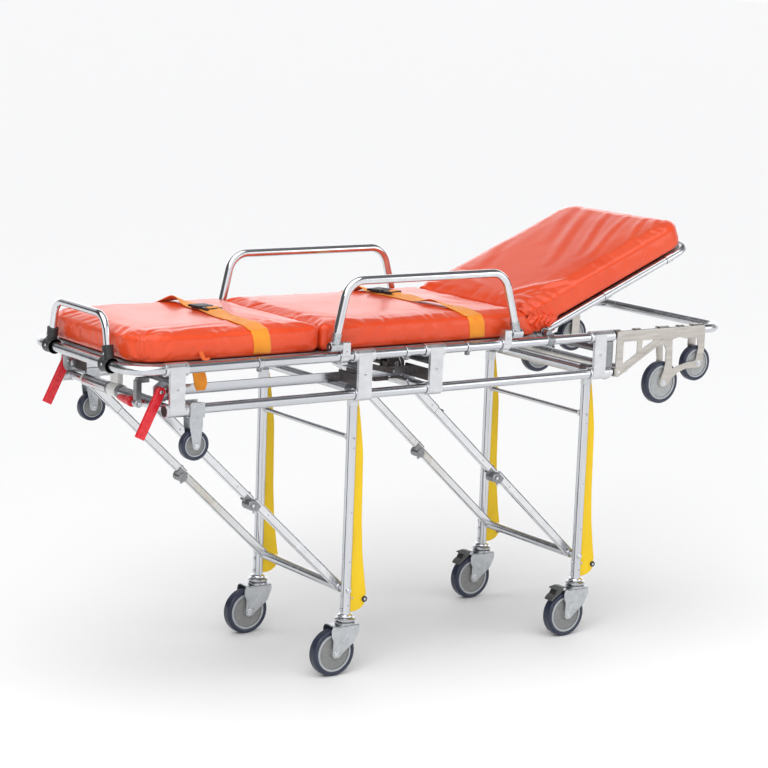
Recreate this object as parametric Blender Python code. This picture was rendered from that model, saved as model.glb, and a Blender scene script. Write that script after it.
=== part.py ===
# Stretcher trolley with folding legs, in metres.
# +X runs to the head end, -Y is the near side, +Z is up; the origin is on the
# floor under the middle of the trolley.
import bpy
import math
from mathutils import Vector, Matrix

for _o in list(bpy.data.objects):
    bpy.data.objects.remove(_o, do_unlink=True)

# ------------------------------------------------------------------ constants
X_END = 0.9375          # centre line of the foot end bar, from the middle
X_HEAD = 0.9437         # centre line of the head end bar
YR = 0.270              # side rails, half spacing
R_RAIL = 0.0125         # 25 mm rail tube
ZU = 0.849              # upper rail
ZL = 0.749              # lower rail and every leg / brace pivot
R_SLEEVE = 0.0168
BORE = R_RAIL + 0.0003

X_FB = -0.8235          # foot cross frame, foot brace pivot
X_M1 = -0.285           # first middle cross frame
X_M2 = -0.064           # second middle cross frame, head brace pivot
X_HB = 0.485            # head cross frame
X_LF = -0.272           # foot leg pivot
X_LH = 0.500            # head leg pivot
Y_LEG = 0.2156
R_LEG = 0.0128
R_AXLE = 0.011
Z_LEG_END = 0.1525
Z_ROD = 0.625
Z_BAR = 0.2235          # lower leg bar, brace lower pivot

WHEEL_R = 0.0625        # 125 mm castors
TRAIL = 0.038
AUX_R = 0.0375
A_X, A_Z, A_R = 0.719, 0.708, 0.0590
B_X, B_Z, B_R = 0.846, 0.754, 0.0500

Z_DECK = 0.8560
Z_MAT = 0.8600
MAT_T = 0.070
Y_MAT = 0.250
X_MAT0, X_FOLD, X_MAT1 = -0.915, -0.395, 0.300

BR_X, BR_Z = 0.318, 0.868       # backrest hinge
BR_TILT = math.radians(22.5)
BR_LEN = 0.552
Y_BR = 0.240

SR_Y, SR_Z = 0.280, 0.877       # side rail hinge
GR_Y = 0.150                    # foot guard rail, half spacing

# ------------------------------------------------------------------ materials
MATS = {
    "aluminium": ((0.78, 0.79, 0.81, 1), 1.0, 0.28),
    "cast_aluminium": ((0.62, 0.63, 0.65, 1), 1.0, 0.45),
    "steel_plate": ((0.66, 0.63, 0.59, 1), 1.0, 0.35),
    "chrome": ((0.85, 0.86, 0.88, 1), 1.0, 0.10),
    "zinc_steel": ((0.62, 0.64, 0.66, 1), 1.0, 0.30),
    "dark_steel": ((0.10, 0.10, 0.11, 1), 0.8, 0.40),
    "tread": ((0.035, 0.045, 0.085, 1), 0.0, 0.35),
    "yellow_plastic": ((0.90, 0.68, 0.03, 1), 0.0, 0.40),
    "red_plastic": ((0.75, 0.03, 0.04, 1), 0.0, 0.30),
    "black_plastic": ((0.02, 0.02, 0.022, 1), 0.0, 0.40),
    "mattress_cover": ((0.86, 0.16, 0.05, 1), 0.0, 0.30),
    "belt": ((0.95, 0.38, 0.02, 1), 0.0, 0.60),
    "deck_board": ((0.55, 0.56, 0.58, 1), 0.8, 0.50),
}


def material(name):
    m = bpy.data.materials.get(name)
    if m is None:
        col, metal, rough = MATS[name]
        m = bpy.data.materials.new(name)
        m.use_nodes = True
        b = m.node_tree.nodes["Principled BSDF"]
        b.inputs["Base Color"].default_value = col
        b.inputs["Metallic"].default_value = metal
        b.inputs["Roughness"].default_value = rough
    return m


# -------------------------------------------------------------------- solids
def make(verts, faces):
    me = bpy.data.meshes.new("m")
    me.from_pydata([tuple(v) for v in verts], [], faces)
    me.validate()
    ob = bpy.data.objects.new("tmp", me)
    bpy.context.scene.collection.objects.link(ob)
    # faces outwards
    vol = 0.0
    for p in me.polygons:
        vs = [me.vertices[i].co for i in p.vertices]
        for k in range(1, len(vs) - 1):
            vol += vs[0].dot(vs[k].cross(vs[k + 1])) / 6.0
    if vol < 0:
        me.flip_normals()
    return ob


def box(x0, x1, y0, y1, z0, z1):
    v = [(x, y, z) for x in (x0, x1) for y in (y0, y1) for z in (z0, z1)]
    f = [(0, 1, 3, 2), (4, 6, 7, 5), (0, 4, 5, 1), (2, 3, 7, 6), (0, 2, 6, 4), (1, 5, 7, 3)]
    return make(v, f)


def cyl(p0, p1, r, n=12, r1=None, phase=0.5):
    p0, p1 = Vector(p0), Vector(p1)
    ax = (p1 - p0).normalized()
    ref = Vector((0, 0, 1)) if abs(ax.z) < 0.9 else Vector((1, 0, 0))
    a = ax.cross(ref).normalized()
    b = ax.cross(a)
    r1 = r if r1 is None else r1
    v = []
    for p, rr in ((p0, r), (p1, r1)):
        for i in range(n):
            t = 2 * math.pi * (i + phase) / n
            v.append(p + rr * (a * math.cos(t) + b * math.sin(t)))
    f = [tuple(range(n))[::-1], tuple(range(n, 2 * n))]
    for i in range(n):
        j = (i + 1) % n
        f.append((i, j, n + j, n + i))
    return make(v, f)


def prism(poly, y0, y1, axis="y"):
    n = len(poly)
    v = []
    for yy in (y0, y1):
        for p in poly:
            if axis == "y":
                v.append((p[0], yy, p[1]))
            elif axis == "x":
                v.append((yy, p[0], p[1]))
            else:
                v.append((p[0], p[1], yy))
    f = [tuple(range(n))[::-1], tuple(range(n, 2 * n))]
    for i in range(n):
        j = (i + 1) % n
        f.append((i, j, n + j, n + i))
    return make(v, f)


def bend(points, radii, seg=5):
    """Corner points with fillet radii -> list of points."""
    pts = [Vector(p) for p in points]
    out = [pts[0]]
    for i in range(1, len(pts) - 1):
        r = radii[i]
        a = (pts[i - 1] - pts[i]).normalized()
        b = (pts[i + 1] - pts[i]).normalized()
        ang = a.angle(b)
        if r <= 0 or abs(ang - math.pi) < 1e-4:
            out.append(pts[i])
            continue
        d = r / math.tan(ang / 2)
        c = pts[i] + (a + b).normalized() * (r / math.sin(ang / 2))
        s, e = pts[i] + a * d - c, pts[i] + b * d - c
        tot = s.angle(e)
        ax = s.cross(e).normalized()
        for k in range(seg + 1):
            out.append(c + Matrix.Rotation(tot * k / seg, 3, ax) @ s)
    out.append(pts[-1])
    return out


def tube(points, r, n=12, up=(0, 0, 1)):
    pts = [Vector(p) for p in points]
    m = len(pts)
    up = Vector(up)
    v = []
    for i, p in enumerate(pts):
        if i == 0:
            t0 = t1 = (pts[1] - pts[0]).normalized()
        elif i == m - 1:
            t0 = t1 = (pts[-1] - pts[-2]).normalized()
        else:
            t0, t1 = (p - pts[i - 1]).normalized(), (pts[i + 1] - p).normalized()
        t = (t0 + t1).normalized()
        side = t.cross(up).normalized()
        top = side.cross(t).normalized()
        k = 1.0 / max(0.3, t.dot(t1))
        # stretch in the bend plane so the tube keeps its width
        bd = (t1 - t0)
        for j in range(n):
            a = 2 * math.pi * (j + 0.5) / n
            d = side * math.cos(a) + top * math.sin(a)
            if bd.length > 1e-6:
                q = bd.normalized()
                d = d + q * (d.dot(q) * (k - 1.0))
            v.append(p + r * d)
    f = [tuple(range(n))[::-1], tuple(range((m - 1) * n, m * n))]
    for i in range(m - 1):
        for j in range(n):
            q = (j + 1) % n
            f.append((i * n + j, i * n + q, (i + 1) * n + q, (i + 1) * n + j))
    return make(v, f)


def lathe_y(x, y, z, prof, n, phase=0.5):
    """Closed ring profile [(radius, dy)...] turned about Y."""
    m = len(prof)
    v = []
    for i in range(n):
        t = 2 * math.pi * (i + phase) / n
        for rr, dy in prof:
            v.append((x + rr * math.sin(t), y + dy, z - rr * math.cos(t)))
    f = []
    for i in range(n):
        a, b = i * m, ((i + 1) % n) * m
        for j in range(m):
            k = (j + 1) % m
            f.append((a + j, a + k, b + k, b + j))
    return make(v, f)


def _bool(target, others, op):
    for o in others:
        md = target.modifiers.new("b", "BOOLEAN")
        md.operation = op
        md.object = o
        md.solver = "EXACT"
    bpy.context.view_layer.update()
    dg = bpy.context.evaluated_depsgraph_get()
    me = bpy.data.meshes.new_from_object(target.evaluated_get(dg))
    target.modifiers.clear()
    target.data = me
    for o in others:
        bpy.data.objects.remove(o, do_unlink=True)
    return target


def join(parts, cuts=()):
    t = parts[0]
    if len(parts) > 1:
        t = _bool(t, parts[1:], "UNION")
    if cuts:
        t = _bool(t, list(cuts), "DIFFERENCE")
    return t


def node(name, ob, mat):
    me = ob.data
    ob.name = name
    me.name = name
    me.materials.clear()
    me.materials.append(material(mat))
    return ob


SIDES = (("near", -1), ("far", 1))


def yb(s, a, b):
    """y interval a..b (absolute) on side s."""
    return (s * a, s * b) if s > 0 else (s * b, s * a)


def boxs(s, x0, x1, a, b, z0, z1):
    y0, y1 = yb(s, a, b)
    return box(x0, x1, y0, y1, z0, z1)


# ------------------------------------------------------------ frame: end bows
node("foot_bow", tube(bend([(-0.8005, -YR, ZU), (-X_END, -YR, ZU), (-X_END, YR, ZU), (-0.8005, YR, ZU)],
                           [0, 0.083, 0.083, 0], 6), R_RAIL), "aluminium")
node("head_bow", tube(bend([(0.4855, -YR, ZU), (X_HEAD, -YR, ZU), (X_HEAD, YR, ZU), (0.4855, YR, ZU)],
                           [0, 0.055, 0.055, 0], 5), R_RAIL), "aluminium")

# --------------------------------------------------------------- frame: rails
for nm, s in SIDES:
    y = s * YR
    parts = [tube([(-0.7995, y, ZU), (0.4845, y, ZU)], R_RAIL)]
    for cx in (-0.588, -0.149, 0.045):
        parts.append(cyl((cx - 0.006, y, ZU), (cx + 0.006, y, ZU), 0.0150, 12))
    # side rail clamps with their hinge pins
    for cx, d in ((-0.345, -1), (0.165, 1)):
        parts.append(boxs(s, cx - 0.0122, cx + 0.0122, 0.2545, 0.2895, 0.8335, 0.8655))
        parts.append(boxs(s, cx - 0.0118, cx + 0.0118, 0.2705, 0.2890, 0.8600, 0.8860))
        parts.append(cyl((cx, s * SR_Y, SR_Z), (cx + d * 0.0485, s * SR_Y, SR_Z), 0.0040, 10))
    # backrest hinge lug and pin
    parts.append(boxs(s, BR_X - 0.011, BR_X + 0.011, 0.2560, 0.2690, 0.8520, 0.8785))
    parts.append(cyl((BR_X, s * 0.2270, BR_Z), (BR_X, s * 0.2620, BR_Z), 0.0050, 10))
    node("upper_rail_" + nm, join(parts), "aluminium")
    node("lower_rail_" + nm, tube([(-0.850, y, ZL), (0.5375, y, ZL)], R_RAIL), "aluminium")


# -------------------------------------------------------- frame: cross frames
def cross_frame(name, xc, x_piv, sleeve_u, sleeve_l, extra, more=(), holes=()):
    parts, cuts = [], list(holes)
    first = cyl((x_piv, -0.262, ZL), (x_piv, 0.262, ZL), R_AXLE, 12)
    parts.append(first)
    for nm, s in SIDES:
        parts.append(boxs(s, xc - 0.0205, xc + 0.0205, 0.2740, 0.2880, 0.7380, 0.8600))
        parts.append(cyl((sleeve_u[0], s * YR, ZU), (sleeve_u[1], s * YR, ZU), R_SLEEVE, 12))
        parts.append(cyl((sleeve_l[0], s * YR, ZL), (sleeve_l[1], s * YR, ZL), R_SLEEVE, 12))
        parts.append(cyl((xc, s * 0.2870, 0.8020), (xc, s * 0.2902, 0.8020), 0.0045, 8))
        cuts.append(cyl((xc - 0.08, s * YR, ZU), (xc + 0.10, s * YR, ZU), BORE, 12))
        cuts.append(cyl((xc - 0.08, s * YR, ZL), (xc + 0.10, s * YR, ZL), BORE, 12))
        parts += extra(s)
    # deck cross tube
    parts.append(cyl((xc, -0.2750, 0.8180), (xc, 0.2750, 0.8180), 0.0100, 12))
    parts += more
    return node(name, join(parts, cuts), "cast_aluminium")


cross_frame("cross_frame_foot", X_FB, X_FB, (-0.8530, -0.7905), (-0.8505, -0.7895),
            lambda s: [boxs(s, -0.8290, -0.8180, 0.1905, 0.2750, 0.7700, 0.8010),
                       boxs(s, -0.8620, -0.8260, 0.2340, 0.2380, 0.7660, 0.8160),
                       boxs(s, -0.8330, -0.8255, 0.2350, 0.2750, 0.7720, 0.8140),
                       boxs(s, -0.8200, -0.3023, 0.1965, 0.2050, 0.7720, 0.7960)],
            # bush round the brace axle and the guide of the release knob
            [join([cyl((X_FB, -0.0150, ZL), (X_FB, 0.0550, ZL), 0.0218, 12)],
                  [cyl((X_FB, -0.0500, ZL), (X_FB, 0.0900, ZL), 0.0165, 12)]),
             box(X_FB - 0.0080, X_FB + 0.0080, 0.0000, 0.0400, 0.7675, 0.8120),
             box(-0.8640, -0.8480, -0.1560, -0.1400, 0.7380, 0.8060),
             box(-0.8600, -0.8262, -0.1540, -0.1420, 0.7980, 0.8120)],
            [cyl((-0.8560, -0.1700, 0.7480), (-0.8560, -0.1300, 0.7480), 0.0054, 10)])
cross_frame("cross_frame_mid_foot", X_M1, X_LF, (-0.3160, -0.2520), (-0.3080, -0.2620),
            lambda s: [boxs(s, -0.3020, -0.2950, 0.1905, 0.2750, 0.7700, 0.8010),
                       boxs(s, -0.2685, -0.2640, 0.1750, 0.2750, 0.7700, 0.8010)])
cross_frame("cross_frame_mid_head", X_M2, X_M2, (-0.0950, -0.0330), (-0.0870, -0.0410),
            lambda s: [boxs(s, -0.0840, -0.0770, 0.1750, 0.2750, 0.7700, 0.8010),
                       boxs(s, -0.2637, -0.0790, 0.1800, 0.1880, 0.7720, 0.7960)])
cross_frame("cross_frame_head", X_HB, X_LH, (0.4560, 0.5375), (0.4600, 0.5300),
            lambda s: [boxs(s, 0.5000, 0.5360, 0.2620, 0.2800, 0.7640, 0.8340),
                       boxs(s, 0.5220, 0.5355, 0.2200, 0.2630, 0.7270, 0.7570)] +
            ([box(0.5215, 0.5480, -0.2450, 0.2450, 0.7260, 0.7580)] if s < 0 else []))

# latch housing between the middle cross frames
node("latch_housing", join([
    box(-0.1400, -0.0860, -0.1760, -0.1400, 0.7600, 0.8320),
    box(-0.1760, -0.1300, -0.1700, -0.1520, 0.7560, 0.7720),
    cyl((-0.1120, -0.1500, 0.8000), (-0.1120, -0.1782, 0.8000), 0.0070, 12),
    cyl((-0.1180, -0.1600, 0.7950), (-0.1180, 0.1600, 0.7950), 0.0060, 10)]), "dark_steel")

# deck: sheet with ribs
deck = [prism([(0.298, -0.2450), (0.298, 0.2450), (-0.872, 0.2450), (-0.905, 0.2120), (-0.905, -0.2120),
               (-0.872, -0.2450)], Z_DECK - 0.0030, Z_DECK + 0.0034, "z")]
for cx in (-0.700, -0.588, -0.440, -0.149, 0.045, 0.230):
    deck.append(box(cx - 0.014, cx + 0.014, -0.2535, 0.2535, 0.8420, Z_DECK))
node("bed_deck", join(deck), "deck_board")


# ------------------------------------------------- head loading-wheel brackets
def strip(a, b, w):
    ax, az = a
    bx, bz = b
    L = math.hypot(bx - ax, bz - az)
    nx, nz = -(bz - az) / L * w / 2, (bx - ax) / L * w / 2
    return [(ax + nx, az + nz), (bx + nx, bz + nz), (bx - nx, bz - nz), (ax - nx, az - nz)]


for nm, s in SIDES:
    o0, o1 = yb(s, 0.2845, 0.2878)
    i0, i1 = yb(s, 0.2518, 0.2548)
    parts = [prism([(0.5420, 0.8620), (0.8620, 0.8620), (0.8660, 0.8300), (0.8000, 0.8270), (0.7700, 0.8340),
                    (0.7400, 0.8300), (0.6900, 0.8340), (0.5420, 0.8330)], o0, o1)]
    parts.append(prism([(0.5430, 0.8500), (0.5640, 0.8500), (0.5660, 0.7700), (0.5720, 0.7500), (0.5620, 0.7340),
                        (0.5460, 0.7340), (0.5410, 0.7500)], o0 + 0.0001, o1 - 0.0001))
    parts.append(prism([(0.5480, 0.7560), (0.7000, 0.8420), (0.7200, 0.8420), (0.7160, 0.8200), (0.5560, 0.7400)],
                       o0 + 0.0002, o1 - 0.0002))
    parts.append(prism(strip((0.6250, 0.8450), (0.6250, 0.7850), 0.016), o0 + 0.0003, o1 - 0.0003))
    # wheel forks: outer and inner cheeks
    fork_a = [(0.7060, 0.8440), (0.7360, 0.8440), (0.7460, 0.8000), (0.7470, 0.7620), (0.7350, 0.7060),
              (0.7260, 0.6970), (0.7120, 0.6970), (0.7040, 0.7080), (0.7220, 0.7560), (0.7240, 0.8000)]
    fork_b = [(0.8340, 0.8450), (0.8640, 0.8450), (0.8650, 0.8000), (0.8600, 0.7520), (0.8520, 0.7420),
              (0.8400, 0.7420), (0.8320, 0.7540), (0.8420, 0.8000)]
    link = [(0.7180, 0.7000), (0.7320, 0.7000), (0.7700, 0.7340), (0.8000, 0.7430), (0.8420, 0.7430), (0.8500, 0.7600),
            (0.7980, 0.7600), (0.7620, 0.7500), (0.7160, 0.7180)]
    parts.append(prism(fork_a, o0 - 0.0001, o1 + 0.0001))
    parts.append(prism(fork_b, o0 - 0.0001, o1 + 0.0001))
    parts.append(prism(link, o0 + 0.0004, o1 - 0.0004))
    parts.append(prism([(0.7060, 0.8634), (0.7360, 0.8634), (0.7420, 0.7700), (0.7350, 0.7060), (0.7120, 0.6970),
                        (0.7040, 0.7080), (0.7200, 0.7700)], i0, i1))
    parts.append(prism([(0.8340, 0.8634), (0.8640, 0.8634), (0.8600, 0.7520), (0.8400, 0.7420), (0.8320, 0.7540)],
                       i0, i1))
    # tabs hooked over the side tube
    for tx, w in ((0.5520, 0.020), (0.6250, 0.018), (0.7210, 0.034), (0.7850, 0.018), (0.8480, 0.036)):
        a0, a1 = yb(s, 0.2518, 0.2874)
        parts.append(box(tx - w / 2, tx + w / 2, a0, a1, 0.8618, 0.8648))
        if tx in (0.5520, 0.6250, 0.7850):
            parts.append(box(tx - w / 2, tx + w / 2, i0, i1, 0.8400, 0.8640))
        parts.append(box(tx - w / 2 + 0.001, tx + w / 2 - 0.001, o0 + 0.0002, o1 - 0.0002, 0.8560, 0.8640))
    for ax, az in ((A_X, A_Z), (B_X, B_Z)):
        parts.append(cyl((ax, s * 0.2510, az), (ax, s * 0.2900, az), 0.0050, 12))
    # foot that bolts to the end of the lower rail
    parts.append(boxs(s, 0.5400, 0.5460, 0.2600, 0.2850, 0.7370, 0.7620))
    node("head_bracket_" + nm, join(parts), "steel_plate")
node("head_cross_tube", tube([(0.5800, -0.2838, 0.7560), (0.5800, 0.2838, 0.7560)], 0.0095, 12), "aluminium")


# --------------------------------------------------------------------- wheels
def wheel(name, x, y, z, R, hw, bore, n, hub=None):
    hub = hub or hw + 0.0012
    R = R / math.cos(math.pi / n)
    prof = [(bore, -hub), (bore, hub), (0.012, hub), (0.014, hw - 0.002), (R - 0.0045, hw - 0.0010),
            (R, hw * 0.45), (R, -hw * 0.45), (R - 0.0045, -hw + 0.0010), (0.014, -hw + 0.002), (0.012, -hub)]
    return node(name, lathe_y(x, y, z, prof, n), "tread")


for nm, s in SIDES:
    wheel("loading_wheel_rear_" + nm, A_X, s * YR, A_Z, A_R, 0.0125, 0.0055, 22, 0.0140)
    wheel("loading_wheel_front_" + nm, B_X, s * YR, B_Z, B_R, 0.0120, 0.0055, 20, 0.0140)

# auxiliary wheels under the foot end
for nm, s in SIDES:
    ya = 0.266
    parts = [boxs(s, -0.7880, -0.7480, 0.2505, 0.2885, 0.7290, 0.7690)]
    for a, b in ((0.2495, 0.2520), (0.2800, 0.2825)):
        y0, y1 = yb(s, a, b)
        parts.append(prism([(-0.7850, 0.7350), (-0.7510, 0.7350), (-0.7500, 0.7000), (-0.7560, 0.6560), (-0.7620, 0.6500),
                            (-0.7700, 0.6500), (-0.7760, 0.6570), (-0.7840, 0.7000)], y0, y1))
    parts.append(cyl((-0.765, s * 0.2480, 0.660), (-0.765, s * 0.2845, 0.660), 0.0040, 10))
    node("aux_fork_" + nm, join(parts, [cyl((-0.82, s * YR, ZL), (-0.72, s * YR, ZL), BORE, 12)]), "zinc_steel")
    prof_hw = 0.0120
    R = AUX_R
    prof = [(0.0046, -0.0132), (0.0046, 0.0132), (0.010, 0.0132), (0.011, 0.0100), (R - 0.004, 0.0110), (R, 0.005),
            (R, -0.005), (R - 0.004, -0.0110), (0.011, -0.0100), (0.010, -0.0132)]
    node("aux_wheel_" + nm, lathe_y(-0.765, s * ya, 0.660, prof, 16), "tread")


# ----------------------------------------------------------------- leg frames
def legs(tag, xl):
    parts, cuts = [], []
    parts.append(cyl((xl, -0.2300, Z_BAR), (xl, 0.2300, Z_BAR), 0.0080, 12))
    parts.append(cyl((xl, -0.2156, Z_ROD), (xl, 0.2156, Z_ROD), 0.0060, 10))
    for nm, s in SIDES:
        y = s * Y_LEG
        parts.append(cyl((xl, y, Z_LEG_END), (xl, y, ZL), R_LEG, 12))
        parts.append(cyl((xl, y, Z_LEG_END + 0.0002), (xl, y, 0.1600), 0.0200, 12))
        parts.append(cyl((xl, s * 0.2000, ZL), (xl, s * 0.2325, ZL), 0.0170, 12))
    cuts.append(cyl((xl, -0.25, ZL), (xl, 0.25, ZL), R_AXLE + 0.0009, 12))
    node("leg_frame_" + tag, join(parts, cuts), "aluminium")
    for nm, s in SIDES:
        y0, y1 = yb(s, Y_LEG - 0.003, Y_LEG + 0.003)
        poly = [(0.0132, 0.7220), (0.0150, 0.7220), (0.0260, 0.6500), (0.0350, 0.5830), (0.0365, 0.5000), (0.0375, 0.4060),
                (0.0430, 0.3200), (0.0520, 0.2500), (0.0610, 0.1950), (0.0600, 0.1850), (0.0540, 0.1750), (0.0440, 0.1680),
                (0.0300, 0.1640), (0.0132, 0.1630)]
        g = prism([(xl + a, b) for a, b in poly], y0, y1)
        rr = cyl((xl + 0.0560, s * (Y_LEG - 0.0070), 0.1930), (xl + 0.0560, s * (Y_LEG + 0.0070), 0.1930), 0.0080, 12)
        node("leg_guard_%s_%s" % (tag, nm), join([g, rr]), "yellow_plastic")


legs("foot", X_LF)
legs("head", X_LH)

# --------------------------------------------------------------------- braces
KNEE_OFF = 0.0110       # knee pin, out of the bar line


def brace(tag, xt, xl, share):
    """share: part of the brace above the knee."""
    T, B = Vector((xt, 0, ZL)), Vector((xl, 0, Z_BAR))
    d = (B - T)
    L = d.length
    d.normalize()
    n = Vector((-d.z, 0, d.x))
    if n.z > 0:
        n = -n                      # towards the floor and the foot end
    K = T + d * (L * share) + n * KNEE_OFF
    h = 0.0100

    def bar(p, q, y0, y1, hh=h):
        return prism([(p.x + n.x * hh, p.z + n.z * hh), (q.x + n.x * hh, q.z + n.z * hh),
                      (q.x - n.x * hh, q.z - n.z * hh), (p.x - n.x * hh, p.z - n.z * hh)], y0, y1)

    split = T + d * (L * share)
    up = [cyl((xt, -0.1790, ZL), (xt, 0.1790, ZL), 0.0155, 12)]
    lo = [cyl((xl, -0.1915, Z_BAR), (xl, 0.1915, Z_BAR), 0.0122, 12)]
    for nm, s in SIDES:
        y0, y1 = yb(s, 0.1630, 0.1755)
        up.append(bar(T + d * 0.004, split - d * 0.001, y0, y1))
        z0, z1 = yb(s, 0.1620, 0.1763)
        up.append(bar(T + d * 0.012, T + d * 0.120, z0, z1, 0.0115))
        up.append(cyl((K.x, s * 0.1580, K.z), (K.x, s * 0.1761, K.z), 0.0130, 14))
        up.append(bar(split - d * 0.030 + n * 0.006, split + d * 0.004 + n * 0.006, s * 0.1600 if s > 0 else -0.1759,
                      0.1759 if s > 0 else -0.1600, 0.0130))
        y0, y1 = yb(s, 0.1775, 0.1900)
        lo.append(bar(split + d * 0.001, B - d * 0.004, y0, y1, 0.0090))
        lo.append(cyl((K.x, s * 0.1772, K.z), (K.x, s * 0.1950, K.z), 0.0130, 14))
        lo.append(bar(split - d * 0.004 + n * 0.006, split + d * 0.026 + n * 0.006, s * 0.1773 if s > 0 else -0.1915,
                      0.1915 if s > 0 else -0.1773, 0.0120))
    node("brace_upper_" + tag, join(up, [cyl((xt, -0.2, ZL), (xt, 0.2, ZL), R_AXLE + 0.0009, 12)]), "aluminium")
    node("brace_lower_" + tag, join(lo, [cyl((xl, -0.2, Z_BAR), (xl, 0.2, Z_BAR), 0.0087, 12)]), "aluminium")


brace("foot", X_FB, X_LF, 0.5150)
brace("head", X_M2, X_LH, 0.5235)

# -------------------------------------------------------------------- castors
for tag, xl in (("foot", X_LF), ("head", X_LH)):
    for nm, s in SIDES:
        y = s * Y_LEG
        xw = xl - TRAIL
        parts = [cyl((xl, y, 0.1325), (xl, y, 0.1518), 0.0230, 16),
                 box(xl - 0.0430, xl + 0.0235, y - 0.0215, y + 0.0215, 0.1295, 0.1345)]
        poly = [(-0.0430, 0.1340), (0.0230, 0.1340), (0.0240, 0.1120), (0.0140, 0.0880), (-0.0240, 0.0560),
                (-0.0330, 0.0500), (-0.0430, 0.0500), (-0.0500, 0.0570), (-0.0500, 0.0680), (-0.0400, 0.0900),
                (-0.0260, 0.1120)]
        for k in (-1, 1):
            y0, y1 = sorted((y + k * 0.0192, y + k * 0.0213))
            parts.append(prism([(xl + a, b) for a, b in poly], y0, y1))
        parts.append(cyl((xw, y - 0.0225, WHEEL_R), (xw, y + 0.0225, WHEEL_R), 0.0050, 12))
        node("castor_fork_%s_%s" % (tag, nm), join(parts), "zinc_steel")
        wheel("castor_wheel_%s_%s" % (tag, nm), xw, y, WHEEL_R, WHEEL_R, 0.0150, 0.0055, 28, 0.0180)
        if tag == "head":
            pl = [(-0.0452, 0.1300), (-0.0452, 0.1420), (-0.0760, 0.1420), (-0.1000, 0.1330), (-0.1010, 0.1270),
                  (-0.0740, 0.1330), (-0.0540, 0.1300)]
            node("brake_pedal_" + nm, prism([(xl + a, b) for a, b in pl], y - 0.0160, y + 0.0160), "dark_steel")

# ------------------------------------------------------------------- backrest
U = Vector((math.cos(BR_TILT), 0, math.sin(BR_TILT)))
N = Vector((-math.sin(BR_TILT), 0, math.cos(BR_TILT)))
O = Vector((BR_X, 0, BR_Z))


def br(u, y, n):
    return O + U * u + N * n + Vector((0, y, 0))


parts = [tube(bend([br(0, -Y_BR, 0), br(BR_LEN, -Y_BR, 0), br(BR_LEN, Y_BR, 0), br(0, Y_BR, 0)],
                   [0, 0.045, 0.045, 0], 4), 0.0100, 10, up=N)]
for nm, s in SIDES:
    parts.append(cyl((BR_X, s * 0.2290, BR_Z), (BR_X, s * 0.2505, BR_Z), 0.0125, 14))
    for u in (0.235, 0.470):
        parts.append(cyl(br(u - 0.012, s * Y_BR, 0), br(u + 0.012, s * Y_BR, 0), 0.0118, 12))
cuts = [cyl((BR_X, -0.2600, BR_Z), (BR_X, -0.2200, BR_Z), 0.0055, 10),
        cyl((BR_X, 0.2200, BR_Z), (BR_X, 0.2600, BR_Z), 0.0055, 10)]


def slab(u0, u1, y0, y1, n0, n1):
    v = [br(u, y, n) for u in (u0, u1) for y in (y0, y1) for n in (n0, n1)]
    f = [(0, 1, 3, 2), (4, 6, 7, 5), (0, 4, 5, 1), (2, 3, 7, 6), (0, 2, 6, 4), (1, 5, 7, 3)]
    return make(v, f)


parts.append(slab(0.060, 0.535, -0.2320, 0.2320, 0.0030, 0.0078))
node("backrest_frame", join(parts, cuts), "aluminium")


# ------------------------------------------------------------------- mattress
def pad(name, outline, place, t0, t1, inset=0.010, lo=0.0, hi=0.0):
    """Outline (a, y) with a softened top and bottom edge; lo / hi lean the
    two ends, as a distance at the top face."""
    v, f = [], []
    amin, amax = min(p[0] for p in outline), max(p[0] for p in outline)
    n = len(outline)
    ca = sum(p[0] for p in outline) / n
    levels = ((t0, inset), (t0 + inset, 0.0), (t1 - inset, 0.0), (t1, inset))
    for tz, ins in levels:
        for a, y in outline:
            k = max(0.0, 1 - ins / 0.25)
            q = (tz - t0) / (t1 - t0)
            a0, a1 = amin + lo * q, amax - hi * q
            b = a0 + (a - amin) * (a1 - a0) / (amax - amin)
            v.append(place(ca + (b - ca) * (1 - ins / 0.30), y * k, tz))
    f.append(tuple(range(n))[::-1])
    f.append(tuple(range(3 * n, 4 * n)))
    for l in range(3):
        for i in range(n):
            j = (i + 1) % n
            f.append((l * n + i, l * n + j, (l + 1) * n + j, (l + 1) * n + i))
    return node(name, make(v, f), "mattress_cover")


def outline(a0, a1, w, r0, r1, seg=4):
    pts = []
    for cx, cy, r, t0 in ((a0, -w, r0, 180), (a1, -w, r1, 270), (a1, w, r1, 0), (a0, w, r0, 90)):
        sx = 1 if cx == a0 else -1
        sy = 1 if cy < 0 else -1
        if r <= 0:
            pts.append((cx, cy))
            continue
        for k in range(seg + 1):
            t = math.radians(t0 + 90 * k / seg)
            pts.append((cx + sx * r + r * math.cos(t), cy + sy * r + r * math.sin(t)))
    return pts


flat = lambda a, y, t: (a, y, t)
pad("mattress_foot", outline(X_MAT0, X_FOLD - 0.0006, Y_MAT, 0.080, 0.010), flat, Z_MAT, Z_MAT + MAT_T)
pad("mattress_seat", outline(X_FOLD + 0.0006, X_MAT1, Y_MAT, 0.010, 0.012), flat, Z_MAT, Z_MAT + MAT_T,
    hi=0.036)
pad("mattress_back", outline(0.012, 0.551, Y_MAT, 0.012, 0.060), lambda a, y, t: tuple(br(a, y, t)), 0.0145, 0.0865,
    lo=0.062)


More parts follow.
